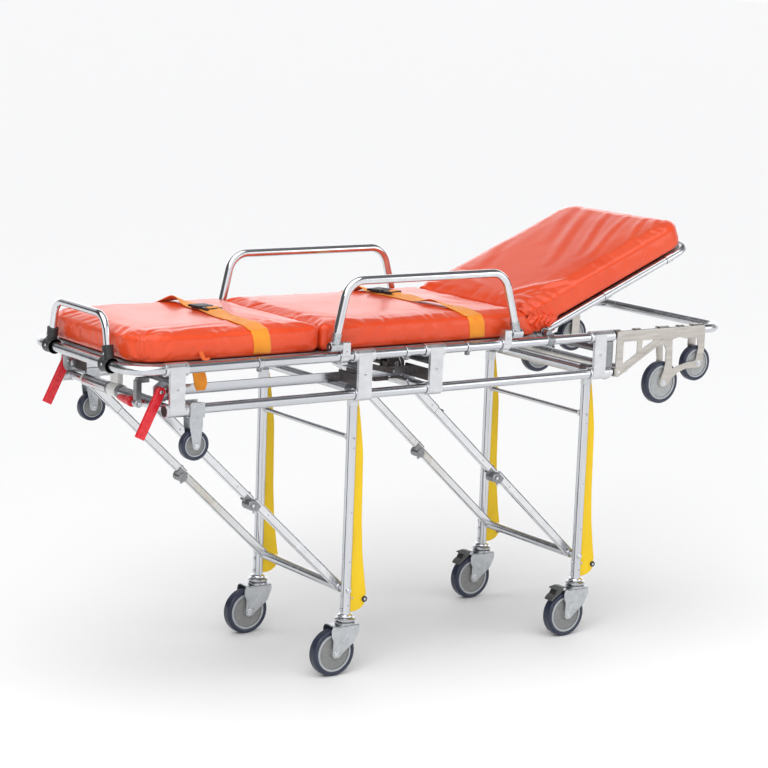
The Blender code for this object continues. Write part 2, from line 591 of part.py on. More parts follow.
# ---------------------------------------------------------------------- belts
def belt(name, xn, xf, w, buckle_y):
    """Band over the mattress and down both sides; xn, xf are near and far x."""
    zt = Z_MAT + MAT_T + 0.0006
    th = 0.0022
    prof = [(-0.2545, 0.8700), (-0.2545, zt - 0.010), (-0.2450, zt + th), (0.2450, zt + th), (0.2545, zt - 0.010),
            (0.2545, 0.8700)]
    inner = [(0.2523, 0.8700), (0.2523, zt - 0.0105), (0.2438, zt), (-0.2438, zt), (-0.2523, zt - 0.0105),
             (-0.2523, 0.8700)]
    loop = prof + inner
    v, f = [], []
    n = len(loop)
    for e in (-w / 2, w / 2):
        for y, z in loop:
            k = (y + 0.2545) / 0.509
            v.append((xn + (xf - xn) * k + e, y, z))
    f.append(tuple(range(n))[::-1])
    f.append(tuple(range(n, 2 * n)))
    for i in range(n):
        j = (i + 1) % n
        f.append((i, j, n + j, n + i))
    node(name, make(v, f), "belt")
    k = (buckle_y + 0.2545) / 0.509
    xb = xn + (xf - xn) * k
    node(name.replace("belt", "buckle"), box(xb - 0.026, xb + 0.026, buckle_y - 0.045, buckle_y + 0.045,
                                             zt + th + 0.0006, zt + th + 0.0126), "black_plastic")


belt("belt_foot", -0.574, -0.580, 0.050, 0.018)
belt("belt_seat", 0.085, 0.010, 0.050, 0.110)

# ------------------------------------------------------------------ side rails
for nm, s in SIDES:
    y = s * SR_Y
    pts = bend([(-0.3775, y, SR_Z), (-0.340, y, 1.040), (0.150, y, 1.040), (0.1975, y, SR_Z)], [0, 0.055, 0.055, 0], 5)
    parts = [tube(pts, 0.0110, 10, up=(0, 1, 0))]
    cuts = []
    for cx in (-0.3755, 0.1955):
        parts.append(cyl((cx - 0.0165, y, SR_Z), (cx + 0.0165, y, SR_Z), 0.0130, 12))
        cuts.append(cyl((cx - 0.03, y, SR_Z), (cx + 0.03, y, SR_Z), 0.0045, 10))
    node("side_rail_" + nm, join(parts, cuts), "chrome")

# ------------------------------------------------------------ foot guard rail
pts = bend([(-X_END, -GR_Y, 0.8715), (-X_END, -0.128, 0.9660), (-X_END, 0.128, 0.9660), (-X_END, GR_Y, 0.8715)],
           [0, 0.045, 0.045, 0], 5)
node("foot_guard_rail", tube(pts, 0.0092, 10, up=(1, 0, 0)), "chrome")
for nm, s in SIDES:
    d = Vector((0, -s * 0.022, 0.0945)).normalized()
    c = Vector((-X_END, s * GR_Y, 0.8715))
    parts = [cyl((-X_END, s * (GR_Y - 0.0190), ZU), (-X_END, s * (GR_Y + 0.0190), ZU), 0.0188, 12),
             cyl(c - d * 0.016, c + d * 0.024, 0.0142, 14)]
    cuts = [cyl((-X_END, s * (GR_Y - 0.04), ZU), (-X_END, s * (GR_Y + 0.04), ZU), 0.0134, 12),
            cyl(c - d * 0.0004, c + d * 0.040, 0.0096, 14)]
    node("guard_clamp_" + nm, join(parts, cuts), "black_plastic")

# -------------------------------------------------------------------- controls
for nm, s in SIDES:
    px, pz = -0.8480, 0.7920
    dx, dz = -0.0480, -0.0960
    L = math.hypot(dx, dz)
    dx, dz = dx / L, dz / L
    nx, nz = -dz, dx
    y0, y1 = yb(s, 0.2392, 0.2530)
    w = 0.0120

    def q(a, b):
        return (px + dx * a + nx * b, pz + dz * a + nz * b)
    lever = prism([q(0.006, -w), q(0.006, w), q(0.122, w), q(0.122, -w)], y0, y1)
    eye = cyl((px, s * 0.2392 + s * 0.0002, pz), (px, s * 0.2528, pz), 0.0120, 14)
    node("release_lever_" + nm, join([lever, eye]), "red_plastic")
node("release_knob", join([cyl((-0.8560, -0.1240, 0.7480), (-0.8560, -0.0560, 0.7480), 0.0135, 14, r1=0.0075),
                           cyl((-0.8560, -0.1620, 0.7480), (-0.8560, -0.1220, 0.7480), 0.0050, 10)]), "red_plastic")
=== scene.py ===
import bpy
import bmesh
import math
from mathutils import Vector, Matrix, noise
from mathutils.bvhtree import BVHTree


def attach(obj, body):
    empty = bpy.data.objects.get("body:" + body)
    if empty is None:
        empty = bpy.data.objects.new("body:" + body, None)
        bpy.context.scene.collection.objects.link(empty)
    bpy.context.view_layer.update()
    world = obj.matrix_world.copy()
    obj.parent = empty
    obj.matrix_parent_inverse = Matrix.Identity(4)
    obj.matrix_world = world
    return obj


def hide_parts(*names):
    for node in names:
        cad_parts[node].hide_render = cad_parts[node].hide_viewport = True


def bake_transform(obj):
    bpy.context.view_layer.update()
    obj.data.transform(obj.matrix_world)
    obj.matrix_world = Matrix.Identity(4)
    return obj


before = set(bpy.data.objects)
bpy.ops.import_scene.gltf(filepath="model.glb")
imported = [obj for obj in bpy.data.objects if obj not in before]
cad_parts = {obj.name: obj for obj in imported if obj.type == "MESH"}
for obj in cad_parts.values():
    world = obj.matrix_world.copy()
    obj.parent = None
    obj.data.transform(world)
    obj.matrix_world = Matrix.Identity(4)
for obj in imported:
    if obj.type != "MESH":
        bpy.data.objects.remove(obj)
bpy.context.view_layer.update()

SC = bpy.context.scene

# ------------------------------------------------------------- measurements
X_END, X_HEAD, YR, R_RAIL, ZU, ZL = 0.9375, 0.9437, 0.270, 0.0125, 0.849, 0.749
R_SLEEVE = 0.0168
X_FB, X_M1, X_M2, X_HB, X_LF, X_LH = -0.8235, -0.285, -0.064, 0.485, -0.272, 0.500
Y_LEG, R_LEG, R_AXLE, Z_LEG_END, Z_ROD, Z_BAR = 0.2156, 0.0128, 0.011, 0.1525, 0.625, 0.2235
WHEEL_R, TRAIL, AUX_R = 0.0625, 0.038, 0.0375
A_X, A_Z, A_R, B_X, B_Z, B_R = 0.719, 0.708, 0.0590, 0.846, 0.754, 0.0500
Z_DECK, Z_MAT, MAT_T, Y_MAT = 0.8560, 0.8600, 0.070, 0.250
X_MAT0, X_FOLD, X_MAT1 = -0.915, -0.395, 0.300
BR_X, BR_Z, BR_LEN, Y_BR = 0.318, 0.868, 0.552, 0.240
BR_TILT = math.radians(22.5)
SR_Y, SR_Z, GR_Y = 0.280, 0.877, 0.150
SIDES = (("near", -1), ("far", 1))
U = Vector((math.cos(BR_TILT), 0, math.sin(BR_TILT)))
N = Vector((-math.sin(BR_TILT), 0, math.cos(BR_TILT)))
O = Vector((BR_X, 0, BR_Z))


def br(u, y, n):
    return O + U * u + N * n + Vector((0, y, 0))


# ---------------------------------------------------------------- materials
def surf(name, c1, c2, metal, r0, r1, scale=(30, 30, 30), bump=0.0, dist=0.0004, fine=(600, 600, 600), contrast=0.5,
         spec=0.5, coat=0.0, sheen=0.0, aniso=0.0, kind="noise"):
    m = bpy.data.materials.new(name)
    m.use_nodes = True
    nt = m.node_tree
    b = nt.nodes["Principled BSDF"]
    b.inputs["Metallic"].default_value = metal
    b.inputs["Specular IOR Level"].default_value = spec
    b.inputs["Coat Weight"].default_value = coat
    b.inputs["Coat Roughness"].default_value = 0.12
    b.inputs["Sheen Weight"].default_value = sheen
    b.inputs["Sheen Roughness"].default_value = 0.4
    b.inputs["Anisotropic"].default_value = aniso
    tc = nt.nodes.new("ShaderNodeTexCoord")
    mp = nt.nodes.new("ShaderNodeMapping")
    mp.inputs["Scale"].default_value = scale
    nt.links.new(tc.outputs["Object"], mp.inputs["Vector"])
    no = nt.nodes.new("ShaderNodeTexNoise")
    no.inputs["Scale"].default_value = 1.0
    no.inputs["Detail"].default_value = 5.0
    no.inputs["Roughness"].default_value = 0.6
    nt.links.new(mp.outputs[0], no.inputs["Vector"])
    cr = nt.nodes.new("ShaderNodeValToRGB")
    cr.color_ramp.elements[0].position = 0.5 - contrast / 2
    cr.color_ramp.elements[1].position = 0.5 + contrast / 2
    cr.color_ramp.elements[0].color = (*c1, 1)
    cr.color_ramp.elements[1].color = (*c2, 1)
    nt.links.new(no.outputs["Fac"], cr.inputs["Fac"])
    nt.links.new(cr.outputs["Color"], b.inputs["Base Color"])
    mr = nt.nodes.new("ShaderNodeMapRange")
    mr.inputs["From Min"].default_value = 0.3
    mr.inputs["From Max"].default_value = 0.7
    mr.inputs["To Min"].default_value = r0
    mr.inputs["To Max"].default_value = r1
    nt.links.new(no.outputs["Fac"], mr.inputs["Value"])
    nt.links.new(mr.outputs[0], b.inputs["Roughness"])
    if bump:
        mp2 = nt.nodes.new("ShaderNodeMapping")
        mp2.inputs["Scale"].default_value = fine
        nt.links.new(tc.outputs["Object"], mp2.inputs["Vector"])
        if kind == "grain":
            n2 = nt.nodes.new("ShaderNodeTexVoronoi")
            n2.feature = "F1"
            out = n2.outputs["Distance"]
        else:
            n2 = nt.nodes.new("ShaderNodeTexNoise")
            n2.inputs["Detail"].default_value = 3.0
            out = n2.outputs["Fac"]
        n2.inputs["Scale"].default_value = 1.0
        nt.links.new(mp2.outputs[0], n2.inputs["Vector"])
        bp = nt.nodes.new("ShaderNodeBump")
        bp.inputs["Strength"].default_value = bump
        bp.inputs["Distance"].default_value = dist
        nt.links.new(out, bp.inputs["Height"])
        nt.links.new(bp.outputs["Normal"], b.inputs["Normal"])
    return m


MT = {
    # drawn and satin anodised tube, with faint lines along its length
    "alu_x": surf("alu_x", (0.53, 0.55, 0.58), (0.68, 0.69, 0.72), 1.0, 0.15, 0.25, (4, 90, 90), 0.10, 0.0002,
                  (30, 900, 900)),
    "alu_z": surf("alu_z", (0.54, 0.56, 0.59), (0.70, 0.71, 0.74), 1.0, 0.10, 0.18, (90, 90, 4), 0.10, 0.0002,
                  (900, 900, 30)),
    "alu": surf("alu", (0.53, 0.55, 0.58), (0.68, 0.69, 0.71), 1.0, 0.18, 0.28, (40, 40, 40), 0.08, 0.0002),
    # brightened copy of alu for the flat brace bars: painted light standing for the floor's reflection on their faces
    "alu_painted_light": surf("alu_painted_light", (0.66, 0.67, 0.69), (0.80, 0.805, 0.82), 1.0, 0.20, 0.30, (40, 40, 40), 0.08, 0.0002),
    # darkened copy of alu: painted shade, for the rods and ribs under the deck and the lines along the legs
    "alu_painted_shade": surf("alu_painted_shade", (0.14, 0.14, 0.15), (0.26, 0.26, 0.27), 1.0, 0.30, 0.42, (60, 60, 60), 0.1, 0.0002),
    "plate": surf("plate", (0.60, 0.61, 0.63), (0.74, 0.75, 0.77), 1.0, 0.30, 0.40, (25, 25, 60), 0.12, 0.0002,
                  (500, 500, 900)),
    "truss": surf("truss", (0.40, 0.37, 0.34), (0.66, 0.63, 0.59), 1.0, 0.27, 0.42, (12, 60, 120), 0.16, 0.0002,
                  (120, 500, 1400), contrast=0.7),
    "chrome": surf("chrome", (0.66, 0.67, 0.70), (0.78, 0.79, 0.81), 1.0, 0.07, 0.13, (50, 50, 50)),
    # race: darkened copy of chrome, a painted dark reflection on the castor swivel race
    "race": surf("race", (0.34, 0.35, 0.37), (0.58, 0.59, 0.62), 1.0, 0.07, 0.14, (90, 90, 90), contrast=0.6),
    "zinc": surf("zinc", (0.42, 0.44, 0.46), (0.60, 0.62, 0.64), 1.0, 0.24, 0.38, (70, 70, 70), 0.15, 0.0002,
                 (900, 900, 900), contrast=0.6),
    "cast": surf("cast", (0.20, 0.21, 0.22), (0.40, 0.41, 0.42), 1.0, 0.30, 0.46, (150, 150, 150), 0.35, 0.0003,
                 (1100, 1100, 1100), contrast=0.7),
    "screw": surf("screw", (0.54, 0.56, 0.59), (0.74, 0.75, 0.78), 1.0, 0.18, 0.28, (200, 200, 200)),
    "dark": surf("dark", (0.035, 0.03, 0.03), (0.14, 0.12, 0.115), 0.8, 0.30, 0.50, (90, 90, 90), 0.3, 0.0003,
                 contrast=0.7),
    # near-black for dark joints between parts; also laid in screw slots and bar grooves as painted shade
    "seam": surf("seam", (0.012, 0.012, 0.013), (0.03, 0.03, 0.032), 0.0, 0.6, 0.7),
    "tread": surf("tread", (0.014, 0.019, 0.040), (0.028, 0.036, 0.066), 0.0, 0.26, 0.38, (60, 60, 60), 0.15, 0.0002,
                  spec=0.5),
    "ring": surf("ring", (0.33, 0.35, 0.37), (0.45, 0.47, 0.49), 0.0, 0.30, 0.42, (80, 80, 80), 0.1, 0.0002),
    # disc: darker copy of the disc_l grey, painted shade on the aux and castor wheel discs
    "disc": surf("disc", (0.185, 0.187, 0.185), (0.265, 0.268, 0.265), 0.0, 0.42, 0.55, (160, 160, 160), 0.35, 0.0003,
                 (1300, 1300, 1300)),
    "disc_l": surf("disc_l", (0.30, 0.31, 0.31), (0.44, 0.45, 0.45), 0.2, 0.36, 0.48, (120, 120, 120), 0.2, 0.0002),
    "yellow": surf("yellow", (0.78, 0.50, 0.010), (0.88, 0.60, 0.016), 0.0, 0.44, 0.58, (18, 18, 9), 0.18, 0.0003,
                   (500, 500, 500), spec=0.3),
    "red": surf("red", (0.60, 0.008, 0.018), (0.74, 0.018, 0.030), 0.0, 0.22, 0.34, (30, 30, 30), 0.12, 0.0002,
                spec=0.55),
    "black": surf("black", (0.012, 0.012, 0.013), (0.030, 0.030, 0.032), 0.0, 0.32, 0.46, (60, 60, 60), 0.3, 0.0003,
                  (900, 900, 900), kind="grain"),
    "pedal": surf("pedal", (0.050, 0.054, 0.052), (0.105, 0.110, 0.106), 0.0, 0.38, 0.5, (60, 60, 60), 0.3, 0.0003,
                  (900, 900, 900), kind="grain"),
    "white": surf("white", (0.70, 0.70, 0.68), (0.82, 0.82, 0.80), 0.0, 0.35, 0.45, (60, 60, 60), 0.1, 0.0002),
    "deck": surf("deck", (0.34, 0.345, 0.36), (0.48, 0.485, 0.50), 1.0, 0.38, 0.50, (8, 60, 60), 0.15, 0.0002),
}


def vinyl(name, c_lo, c_hi):
    """Coated fabric: soft colour variation, fine grain and short handling creases."""
    m = surf(name, c_lo, c_hi, 0.0, 0.27, 0.37, (5, 5, 5), 0.12, 0.00030, (700, 700, 700), contrast=0.6, spec=0.35,
             coat=0.24, kind="grain")
    nt = m.node_tree
    b = nt.nodes["Principled BSDF"]
    bp = [n for n in nt.nodes if n.type == "BUMP"][0]
    tc = [n for n in nt.nodes if n.type == "TEX_COORD"][0]
    wv = nt.nodes.new("ShaderNodeTexNoise")
    wv.inputs["Scale"].default_value = 26.0
    wv.inputs["Detail"].default_value = 6.0
    wv.inputs["Roughness"].default_value = 0.55
    wv.inputs["Distortion"].default_value = 0.9
    nt.links.new(tc.outputs["Object"], wv.inputs["Vector"])
    b2 = nt.nodes.new("ShaderNodeBump")
    b2.inputs["Strength"].default_value = 0.16
    b2.inputs["Distance"].default_value = 0.0030
    nt.links.new(wv.outputs["Fac"], b2.inputs["Height"])
    nt.links.new(bp.outputs["Normal"], b2.inputs["Normal"])
    nt.links.new(b2.outputs["Normal"], b.inputs["Normal"])
    return m


MT["vinyl"] = vinyl("vinyl", (0.72, 0.058, 0.012), (0.83, 0.092, 0.022))
MT["piping"] = surf("piping", (0.70, 0.060, 0.014), (0.82, 0.095, 0.026), 0.0, 0.30, 0.40, (60, 60, 60), 0.2, 0.0003)


def webbing(name, c1, c2, axis):
    """Woven strap: warp and weft ribs; the colour is darker between the yarns as painted shade, plus a random noise
    tone.
    """
    m = bpy.data.materials.new(name)
    m.use_nodes = True
    nt = m.node_tree
    b = nt.nodes["Principled BSDF"]
    b.inputs["Roughness"].default_value = 0.55
    b.inputs["Sheen Weight"].default_value = 0.25
    b.inputs["Sheen Roughness"].default_value = 0.4
    at = nt.nodes.new("ShaderNodeAttribute")
    at.attribute_name = "strap"
    sp = nt.nodes.new("ShaderNodeSeparateXYZ")
    nt.links.new(at.outputs["Vector"], sp.inputs[0])

    def ribs(out, freq):
        mu = nt.nodes.new("ShaderNodeMath")
        mu.operation = "MULTIPLY"
        mu.inputs[1].default_value = freq
        nt.links.new(out, mu.inputs[0])
        si = nt.nodes.new("ShaderNodeMath")
        si.operation = "SINE"
        nt.links.new(mu.outputs[0], si.inputs[0])
        return si.outputs[0]
    a = ribs(sp.outputs["X"], 2 * math.pi / 0.0026)
    c = ribs(sp.outputs["Y"], 2 * math.pi / 0.0018)
    mx = nt.nodes.new("ShaderNodeMath")
    mx.operation = "MULTIPLY"
    nt.links.new(a, mx.inputs[0])
    nt.links.new(c, mx.inputs[1])
    no = nt.nodes.new("ShaderNodeTexNoise")
    no.inputs["Scale"].default_value = 25.0
    tc = nt.nodes.new("ShaderNodeTexCoord")
    nt.links.new(tc.outputs["Object"], no.inputs["Vector"])
    # weave height gives painted shade between the yarns; the noise adds the strap's own tone
    ad = nt.nodes.new("ShaderNodeMath")
    ad.operation = "MULTIPLY_ADD"
    ad.inputs[1].default_value = 0.22
    nt.links.new(mx.outputs[0], ad.inputs[0])
    nt.links.new(no.outputs["Fac"], ad.inputs[2])
    cr = nt.nodes.new("ShaderNodeValToRGB")
    cr.color_ramp.elements[0].position, cr.color_ramp.elements[1].position = 0.2, 0.75
    cr.color_ramp.elements[0].color, cr.color_ramp.elements[1].color = (*c1, 1), (*c2, 1)
    nt.links.new(ad.outputs[0], cr.inputs["Fac"])
    nt.links.new(cr.outputs["Color"], b.inputs["Base Color"])
    bp = nt.nodes.new("ShaderNodeBump")
    bp.inputs["Strength"].default_value = 0.5
    bp.inputs["Distance"].default_value = 0.0004
    nt.links.new(mx.outputs[0], bp.inputs["Height"])
    nt.links.new(bp.outputs["Normal"], b.inputs["Normal"])
    return m


MT["belt"] = webbing("belt_web", (0.86, 0.25, 0.006), (1.0, 0.37, 0.012), 0)
MT["tie"] = webbing("tie_web", (0.72, 0.10, 0.008), (0.86, 0.16, 0.015), 0)


# ----------------------------------------------------------------- geometry
def basis(ax):
    ax = Vector(ax).normalized()
    ref = Vector((0, 0, 1)) if abs(ax.z) < 0.9 else Vector((1, 0, 0))
    a = ax.cross(ref).normalized()
    return a, ax.cross(a).normalized(), ax


def rev(p0, ax, prof, n=48):
    """Profile [(radius, distance along the axis)...] turned about the axis; ends on the axis are closed."""
    p0 = Vector(p0)
    a, b, ax = basis(ax)
    V, F, rows = [], [], []
    for r, h in prof:
        if r < 1e-9:
            rows.append([len(V)])
            V.append(p0 + ax * h)
        else:
            rows.append(list(range(len(V), len(V) + n)))
            for i in range(n):
                t = 2 * math.pi * i / n
                V.append(p0 + ax * h + r * (a * math.cos(t) + b * math.sin(t)))
    pairs = list(zip(rows, rows[1:]))
    if len(rows[0]) > 1 and len(rows[-1]) > 1:
        pairs.append((rows[-1], rows[0]))
    for r0, r1 in pairs:
        for i in range(n):
            j = (i + 1) % n
            if len(r0) == 1 and len(r1) > 1:
                F.append((r0[0], r1[i], r1[j]))
            elif len(r1) == 1 and len(r0) > 1:
                F.append((r0[i], r1[0], r0[j]))
            elif len(r0) > 1:
                F.append((r0[i], r0[j], r1[j], r1[i]))
    return V, F


def cyl(p0, p1, r, n=40, ch=0.0006, r1=None):
    p0, p1 = Vector(p0), Vector(p1)
    L = (p1 - p0).length
    r1 = r if r1 is None else r1
    ch = min(ch, L * 0.3, r * 0.4)
    return rev(p0, p1 - p0, [(0, 0), (r - ch, 0), (r, ch), (r1, L - ch), (r1 - ch, L), (0, L)], n)


def sleeve(p0, p1, r, ri, n=48, ch=0.0008):
    """Open tube with wall."""
    p0, p1 = Vector(p0), Vector(p1)
    L = (p1 - p0).length
    return rev(p0, p1 - p0, [(ri, 0), (r - ch, 0), (r, ch), (r, L - ch), (r - ch, L), (ri, L)], n)


def bevel(vf, w, seg=2, ang=30):
    V, F = vf
    bm = bmesh.new()
    vs = [bm.verts.new(v) for v in V]
    for f in F:
        try:
            bm.faces.new([vs[i] for i in f])
        except ValueError:
            pass
    bm.normal_update()
    es = [e for e in bm.edges if len(e.link_faces) == 2 and e.calc_face_angle() > math.radians(ang)]
    bmesh.ops.bevel(bm, geom=es, offset=w, segments=seg, profile=0.5, affect="EDGES", clamp_overlap=True)
    bm.verts.index_update()
    out = [v.co.copy() for v in bm.verts], [tuple(v.index for v in f.verts) for f in bm.faces]
    bm.free()
    return out


def box(x0, x1, y0, y1, z0, z1, bv=0.0010):
    v = [Vector((x, y, z)) for x in (x0, x1) for y in (y0, y1) for z in (z0, z1)]
    f = [(0, 1, 3, 2), (4, 6, 7, 5), (0, 4, 5, 1), (2, 3, 7, 6), (0, 2, 6, 4), (1, 5, 7, 3)]
    return bevel((v, f), bv) if bv else (v, f)


def boxs(s, x0, x1, a, b, z0, z1, bv=0.0010):
    y0, y1 = (a, b) if s > 0 else (-b, -a)
    return box(x0, x1, y0, y1, z0, z1, bv)


def fil(poly, r, seg=5):
    """Round the corners of a closed outline."""
    out = []
    n = len(poly)
    for i in range(n):
        p = Vector(poly[i][:2])
        rr = poly[i][2] if len(poly[i]) > 2 else r
        a, b = Vector(poly[i - 1][:2]) - p, Vector(poly[(i + 1) % n][:2]) - p
        la, lb = a.length, b.length
        a.normalize()
        b.normalize()
        ang = math.acos(max(-1, min(1, a.dot(b))))
        if ang > math.pi - 0.03 or rr <= 0:
            out.append((p.x, p.y))
            continue
        d = min(rr / math.tan(ang / 2), la * 0.48, lb * 0.48)
        rr = d * math.tan(ang / 2)
        c = p + (a + b).normalized() * (rr / math.sin(ang / 2))
        s, e = p + a * d - c, p + b * d - c
        a0, a1 = math.atan2(s.y, s.x), math.atan2(e.y, e.x)
        da = (a1 - a0 + math.pi) % (2 * math.pi) - math.pi
        for k in range(seg + 1):
            t = a0 + da * k / seg
            out.append((c.x + rr * math.cos(t), c.y + rr * math.sin(t)))
    return out


def plate(outer, lo, hi, holes=(), axis="y", bev=0.0006):
    """Flat plate with rounded rims and real holes, from outlines in (a, b)."""
    lo, hi = min(lo, hi), max(lo, hi)
    bev = min(bev, (hi - lo) * 0.4)
    cu = bpy.data.curves.new("c", "CURVE")
    cu.dimensions, cu.fill_mode = "2D", "BOTH"
    for loop in [outer, *holes]:
        sp = cu.splines.new("POLY")
        sp.points.add(len(loop) - 1)
        for p, q in zip(sp.points, loop):
            p.co = (q[0], q[1], 0, 1)
        sp.use_cyclic_u = True
    cu.extrude, cu.bevel_depth, cu.bevel_resolution, cu.offset = (hi - lo) / 2 - bev, bev, 1, -bev
    ob = bpy.data.objects.new("c", cu)
    SC.collection.objects.link(ob)
    bpy.context.view_layer.update()
    me = bpy.data.meshes.new_from_object(ob.evaluated_get(bpy.context.evaluated_depsgraph_get()))
    bm = bmesh.new()
    bm.from_mesh(me)
    bmesh.ops.remove_doubles(bm, verts=bm.verts, dist=1e-6)
    bmesh.ops.recalc_face_normals(bm, faces=bm.faces)
    bm.verts.index_update()
    mid = (lo + hi) / 2
    V = []
    for v in bm.verts:
        a, b, t = v.co
        V.append(Vector((a, mid + t, b)) if axis == "y" else Vector((mid + t, a, b)) if axis == "x" else Vector((a, b, mid + t)))
    F = [tuple(v.index for v in f.verts) for f in bm.faces]
    bm.free()
    bpy.data.objects.remove(ob, do_unlink=True)
    bpy.data.meshes.remove(me)
    return V, F


def prism(poly, lo, hi, axis="y", bv=0.0006):
    n = len(poly)
    V = []
    for t in (lo, hi):
        for p in poly:
            V.append(Vector((p[0], t, p[1])) if axis == "y" else Vector((t, p[0], p[1])) if axis == "x"
                     else Vector((p[0], p[1], t)))
    F = [tuple(range(n))[::-1], tuple(range(n, 2 * n))]
    for i in range(n):
        j = (i + 1) % n
        F.append((i, j, n + j, n + i))
    return bevel((V, F), bv) if bv else (V, F)


def thick(path, t):
    """Outline of a bent strip of thickness t along a 2D path."""
    L, R = [], []
    m = len(path)
    for i, p in enumerate(path):
        p = Vector(p)
        a = Vector(path[max(0, i - 1)])
        b = Vector(path[min(m - 1, i + 1)])
        d = (b - a).normalized()
        q = Vector((-d.y, d.x)) * t / 2
        L.append(tuple(p + q))
        R.append(tuple(p - q))
    return L + R[::-1]


def bend(points, radii, seg=16):
    pts = [Vector(p) for p in points]
    out = [pts[0]]
    for i in range(1, len(pts) - 1):
        r = radii[i]
        a = (pts[i - 1] - pts[i]).normalized()
        b = (pts[i + 1] - pts[i]).normalized()
        ang = a.angle(b)
        if r <= 0 or abs(ang - math.pi) < 1e-4:
            out.append(pts[i])
            continue
        d = r / math.tan(ang / 2)
        c = pts[i] + (a + b).normalized() * (r / math.sin(ang / 2))
        s, e = pts[i] + a * d - c, pts[i] + b * d - c
        tot = s.angle(e)
        ax = s.cross(e).normalized()
        for k in range(seg + 1):
            out.append(c + Matrix.Rotation(tot * k / seg, 3, ax) @ s)
    out.append(pts[-1])
    return out


def tube(points, r, n=40, up=(0, 0, 1), wall=0.0):
    """Round tube along a path; wall > 0 leaves both ends open with a real wall."""
    pts = [Vector(p) for p in points]
    m = len(pts)
    up = Vector(up)
    V, F = [], []

    def ring(i, rr):
        p = pts[i]
        t = (pts[min(m - 1, i + 1)] - pts[max(0, i - 1)]).normalized()
        side = t.cross(up).normalized()
        top = side.cross(t).normalized()
        k = len(V)
        for j in range(n):
            a = 2 * math.pi * j / n
            V.append(p + rr * (side * math.cos(a) + top * math.sin(a)))
        return k
    rs = [ring(i, r) for i in range(m)]
    for a, b in zip(rs, rs[1:]):
        for j in range(n):
            q = (j + 1) % n
            F.append((a + j, a + q, b + q, b + j))
    if wall:
        ri = [ring(i, r - wall) for i in range(m)]
        for a, b in zip(ri, ri[1:]):
            for j in range(n):
                q = (j + 1) % n
                F.append((a + q, a + j, b + j, b + q))
        for a, b in ((rs[0], ri[0]), (ri[-1], rs[-1])):
            for j in range(n):
                q = (j + 1) % n
                F.append((a + j, b + j, b + q, a + q))
    else:
        F.append(tuple(range(rs[0], rs[0] + n))[::-1])
        F.append(tuple(range(rs[-1], rs[-1] + n)))
    return V, F


def section(p, q, prof, up=(0, 1, 0)):
    """Closed 2D section [(across, up)...] swept straight from p to q; 'up' is the second direction."""
    p, q = Vector(p), Vector(q)
    d = (q - p).normalized()
    u = Vector(up).normalized()
    w = d.cross(u).normalized()
    n = len(prof)
    V = [e + w * a + u * b for e in (p, q) for a, b in prof]
    F = [tuple(range(n))[::-1], tuple(range(n, 2 * n))]
    for i in range(n):
        j = (i + 1) % n
        F.append((i, j, n + j, n + i))
    return V, F


def screw(c, ax, r=0.0042, h=0.0018, cross=True):
    """Pan head with a cross slot drawn as dark bars of painted shade; returns parts."""
    c = Vector(c)
    a, b, ax = basis(ax)
    out = [(rev(c, ax, [(0, -0.0004), (r, -0.0004), (r, h * 0.35), (r * 0.86, h * 0.8), (r * 0.5, h), (0, h)], 28), "screw")]
    # the cross slot is a dark bar laid on the head: painted shade of the recess
    if cross:
        for u, v in ((a, b), (b, a)):
            V = [c + ax * t + u * (i * r * 0.52) + v * (j * r * 0.11) for t in (h * 0.7, h + 0.00012)
                 for i in (-1, 1) for j in (-1, 1)]
            out.append(((V, [(0, 1, 3, 2), (4, 6, 7, 5), (0, 4, 5, 1), (2, 3, 7, 6), (0, 2, 6, 4), (1, 5, 7, 3)]), "seam"))
    return out


def dot(c, ax, r=0.0020):
    """Small dark blind rivet or grub screw set in a tube."""
    c = Vector(c)
    return [(rev(c, ax, [(0, -0.001), (r, -0.001), (r, 0.00025), (0, 0.0003)], 20), "seam"),
            (rev(c, ax, [(0, -0.0006), (r * 0.62, -0.0006), (r * 0.62, 0.0007), (r * 0.4, 0.0009), (0, 0.0009)], 20), "screw")]


def volume(V, F):
    s = 0.0
    for f in F:
        for k in range(1, len(f) - 1):
            s += V[f[0]].dot(V[f[k]].cross(V[f[k + 1]]))
    return s


def piece(name, body, parts, replaces=(), angle=33):
    V, F, M, mats = [], [], [], []
    for (vs, fs), mt in parts:
        vs = [Vector(v) for v in vs]
        if volume(vs, fs) < 0:
            fs = [tuple(reversed(f)) for f in fs]
        if mt not in mats:
            mats.append(mt)
        k = len(V)
        V += vs
        F += [tuple(i + k for i in f) for f in fs]
        M += [mats.index(mt)] * len(fs)
    me = bpy.data.meshes.new(name)
    me.from_pydata([tuple(v) for v in V], [], F)
    for mt in mats:
        me.materials.append(MT[mt])
    me.polygons.foreach_set("material_index", M)
    me.update()
    bm = bmesh.new()
    bm.from_mesh(me)
    for f in bm.faces:
        f.smooth = True
    lim = math.radians(angle)
    for e in bm.edges:
        e.smooth = not (len(e.link_faces) == 2 and e.calc_face_angle() > lim)
    bm.to_mesh(me)
    bm.free()
    ob = bpy.data.objects.new(name, me)
    SC.collection.objects.link(ob)
    wn = ob.modifiers.new("wn", "WEIGHTED_NORMAL")
    wn.keep_sharp = True
    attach(ob, body)
    if replaces:
        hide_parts(*([replaces] if isinstance(replaces, str) else replaces))
    return ob


# --------------------------------------------------------- frame: rails, bows
def seam_ring(x, y, z, r, w=0.0012):
    return rev((x - w / 2, y, z), (1, 0, 0), [(0.004, 0), (r, 0), (r, w), (0.004, w)], 40), "seam"


